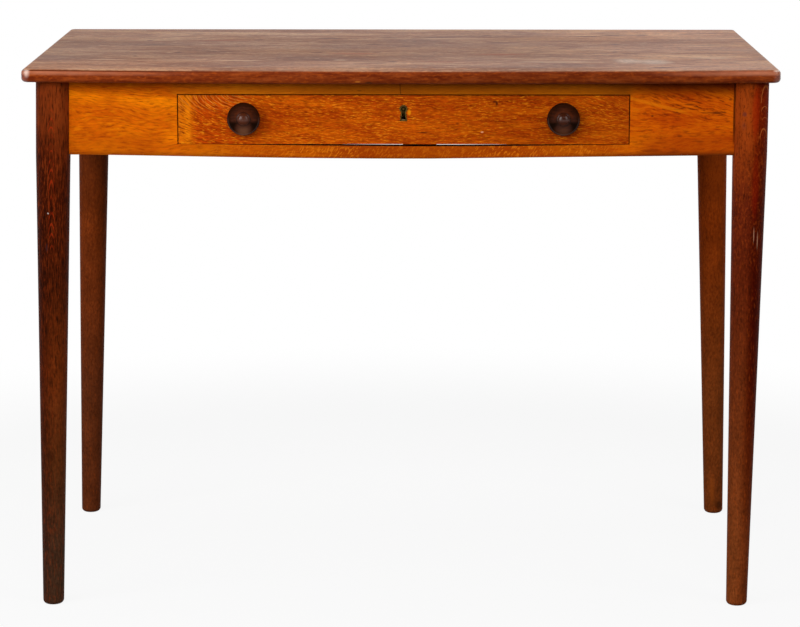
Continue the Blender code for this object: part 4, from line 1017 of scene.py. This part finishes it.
def make_camera():
    """The camera at the place and angle that the photograph was taken from."""
    data = bpy.data.cameras.new("photo_view")
    data.sensor_width = SENSOR_WIDTH
    data.lens = FOCAL_PIXELS / PHOTO_WIDTH * SENSOR_WIDTH
    camera = bpy.data.objects.new("photo_view", data)
    bpy.context.scene.collection.objects.link(camera)
    aim = (
        Matrix.Rotation(CAMERA_YAW, 4, "Z") @ Matrix.Rotation(math.pi / 2 - CAMERA_PITCH, 4, "X")
        @ Matrix.Rotation(CAMERA_ROLL, 4, "Z")
    )
    camera.matrix_world = Matrix.Translation(CAMERA_PLACE) @ aim
    bpy.context.scene.camera = camera


def seen_directly(paint):
    """1 for what the camera, a mirror or glass sees, 0 for light on other surfaces."""
    names = ("Is Camera Ray", "Is Glossy Ray", "Is Transmission Ray")
    camera, mirror, glass = (paint.add("ShaderNodeLightPath", output=name) for name in names)
    return larger(larger(camera, mirror), glass)


def make_floor():
    """A pale floor that the camera sees as white, but for the desk's soft shadow."""
    shape = bmesh.new()
    bmesh.ops.create_grid(shape, x_segments=1, y_segments=1, size=FLOOR_SIZE / 2)
    floor = bare_object("floor", shape)
    material = bpy.data.materials.new("pale_floor")
    material.use_nodes = True
    tree = material.node_tree
    tree.nodes.clear()
    paint = Paint(tree)
    point = paint.add("ShaderNodeTexCoord", output="Object")
    away = paint.add("ShaderNodeVectorMath", {0: point}, output="Value", operation="LENGTH")
    shadow = smooth(away, FLOOR_FAR, FLOOR_NEAR) * FLOOR_SHADOW
    dim = paint.add("ShaderNodeBsdfDiffuse", {"Color": FLOOR_DIM})
    white = paint.add("ShaderNodeEmission", {"Color": WHITE, "Strength": 1.0})
    bright = paint.add("ShaderNodeBsdfDiffuse", {"Color": FLOOR_BRIGHT})
    seen = paint.add("ShaderNodeMixShader", {0: shadow, 1: white, 2: bright})
    both = paint.add("ShaderNodeMixShader", {0: seen_directly(paint), 1: dim, 2: seen})
    out = tree.nodes.new("ShaderNodeOutputMaterial")
    tree.links.new(both.socket, out.inputs["Surface"])
    floor.data.materials.append(material)


def make_world():
    """White where the camera or a mirror looks past the desk, dim all round otherwise."""
    world = bpy.data.worlds.new("studio")
    bpy.context.scene.world = world
    world.use_nodes = True
    tree = world.node_tree
    back = tree.nodes["Background"]
    paint = Paint(tree)
    camera = paint.add("ShaderNodeLightPath", output="Is Camera Ray")
    direct = seen_directly(paint)
    point = paint.add("ShaderNodeTexCoord", output="Generated")
    depth = paint.add("ShaderNodeSeparateXYZ", {0: point}, output="Y")
    behind = smooth(depth, -WORLD_TURN, WORLD_TURN)
    mirrored = (behind * (WORLD_BEHIND - WORLD_BEFORE) + WORLD_BEFORE) * direct
    strength = larger(camera, mirrored + (1.0 - direct) * WORLD_LIGHT)
    tree.links.new(strength.socket, back.inputs["Strength"])
    back.inputs["Color"].default_value = WHITE


def make_light(name, place, aim, size, power, mirrored=True, spread=math.pi):
    """A softbox of some width and height; one that isn't mirrored leaves no highlight."""
    data = bpy.data.lights.new(name, "AREA")
    data.shape = "RECTANGLE"
    data.size, data.size_y = size
    data.energy = power
    data.spread = spread
    lamp = bpy.data.objects.new(name, data)
    bpy.context.scene.collection.objects.link(lamp)
    lamp.location = place
    lamp.rotation_euler = (Vector(aim) - Vector(place)).to_track_quat("-Z", "Y").to_euler()
    lamp.visible_glossy = mirrored


def make_lights():
    """Softboxes to the left and right, a fill beside the camera and a narrow one over the top."""
    make_light("left_softbox", (-2.3, -2.2, 1.70), LIGHT_AIM, (2.2, 2.0), power=55.0)
    make_light("right_softbox", (2.3, -2.2, 2.10), LIGHT_AIM, (1.8, 2.0), power=25.0)
    make_light("front_fill", (-0.3, -3.6, 2.10), LIGHT_AIM, (2.2, 2.0), power=66.0, mirrored=False)
    make_light(
        "overhead", (0.0, 0.2, 2.2), (0.0, 0.1, 0.7), (1.2, 0.7), power=2.0, mirrored=False,
        spread=math.radians(90),
    )


HIDDEN_FINISHES = {
    "aged_brass": aged_brass(), "steel_screw": steel_screw(), "bare_softwood": bare_softwood()
}

finish_top()
for leg, wood in LEG_WOODS.items():
    end, side, _ = leg.split("_")
    finish_leg(leg, (f"{end}_apron", f"{side}_apron"), **wood)
finish_aprons()
finish_drawer_front()
finish_knobs()
finish_escutcheon()
for node, thing in frame["nodes"].items():
    if not thing.hide_render:
        thing.data.materials.clear()
        thing.data.materials.append(HIDDEN_FINISHES[NODE_SLOT[node]])

make_camera()
make_floor()
make_world()
make_lights()
bpy.context.scene.view_settings.view_transform = "Standard"
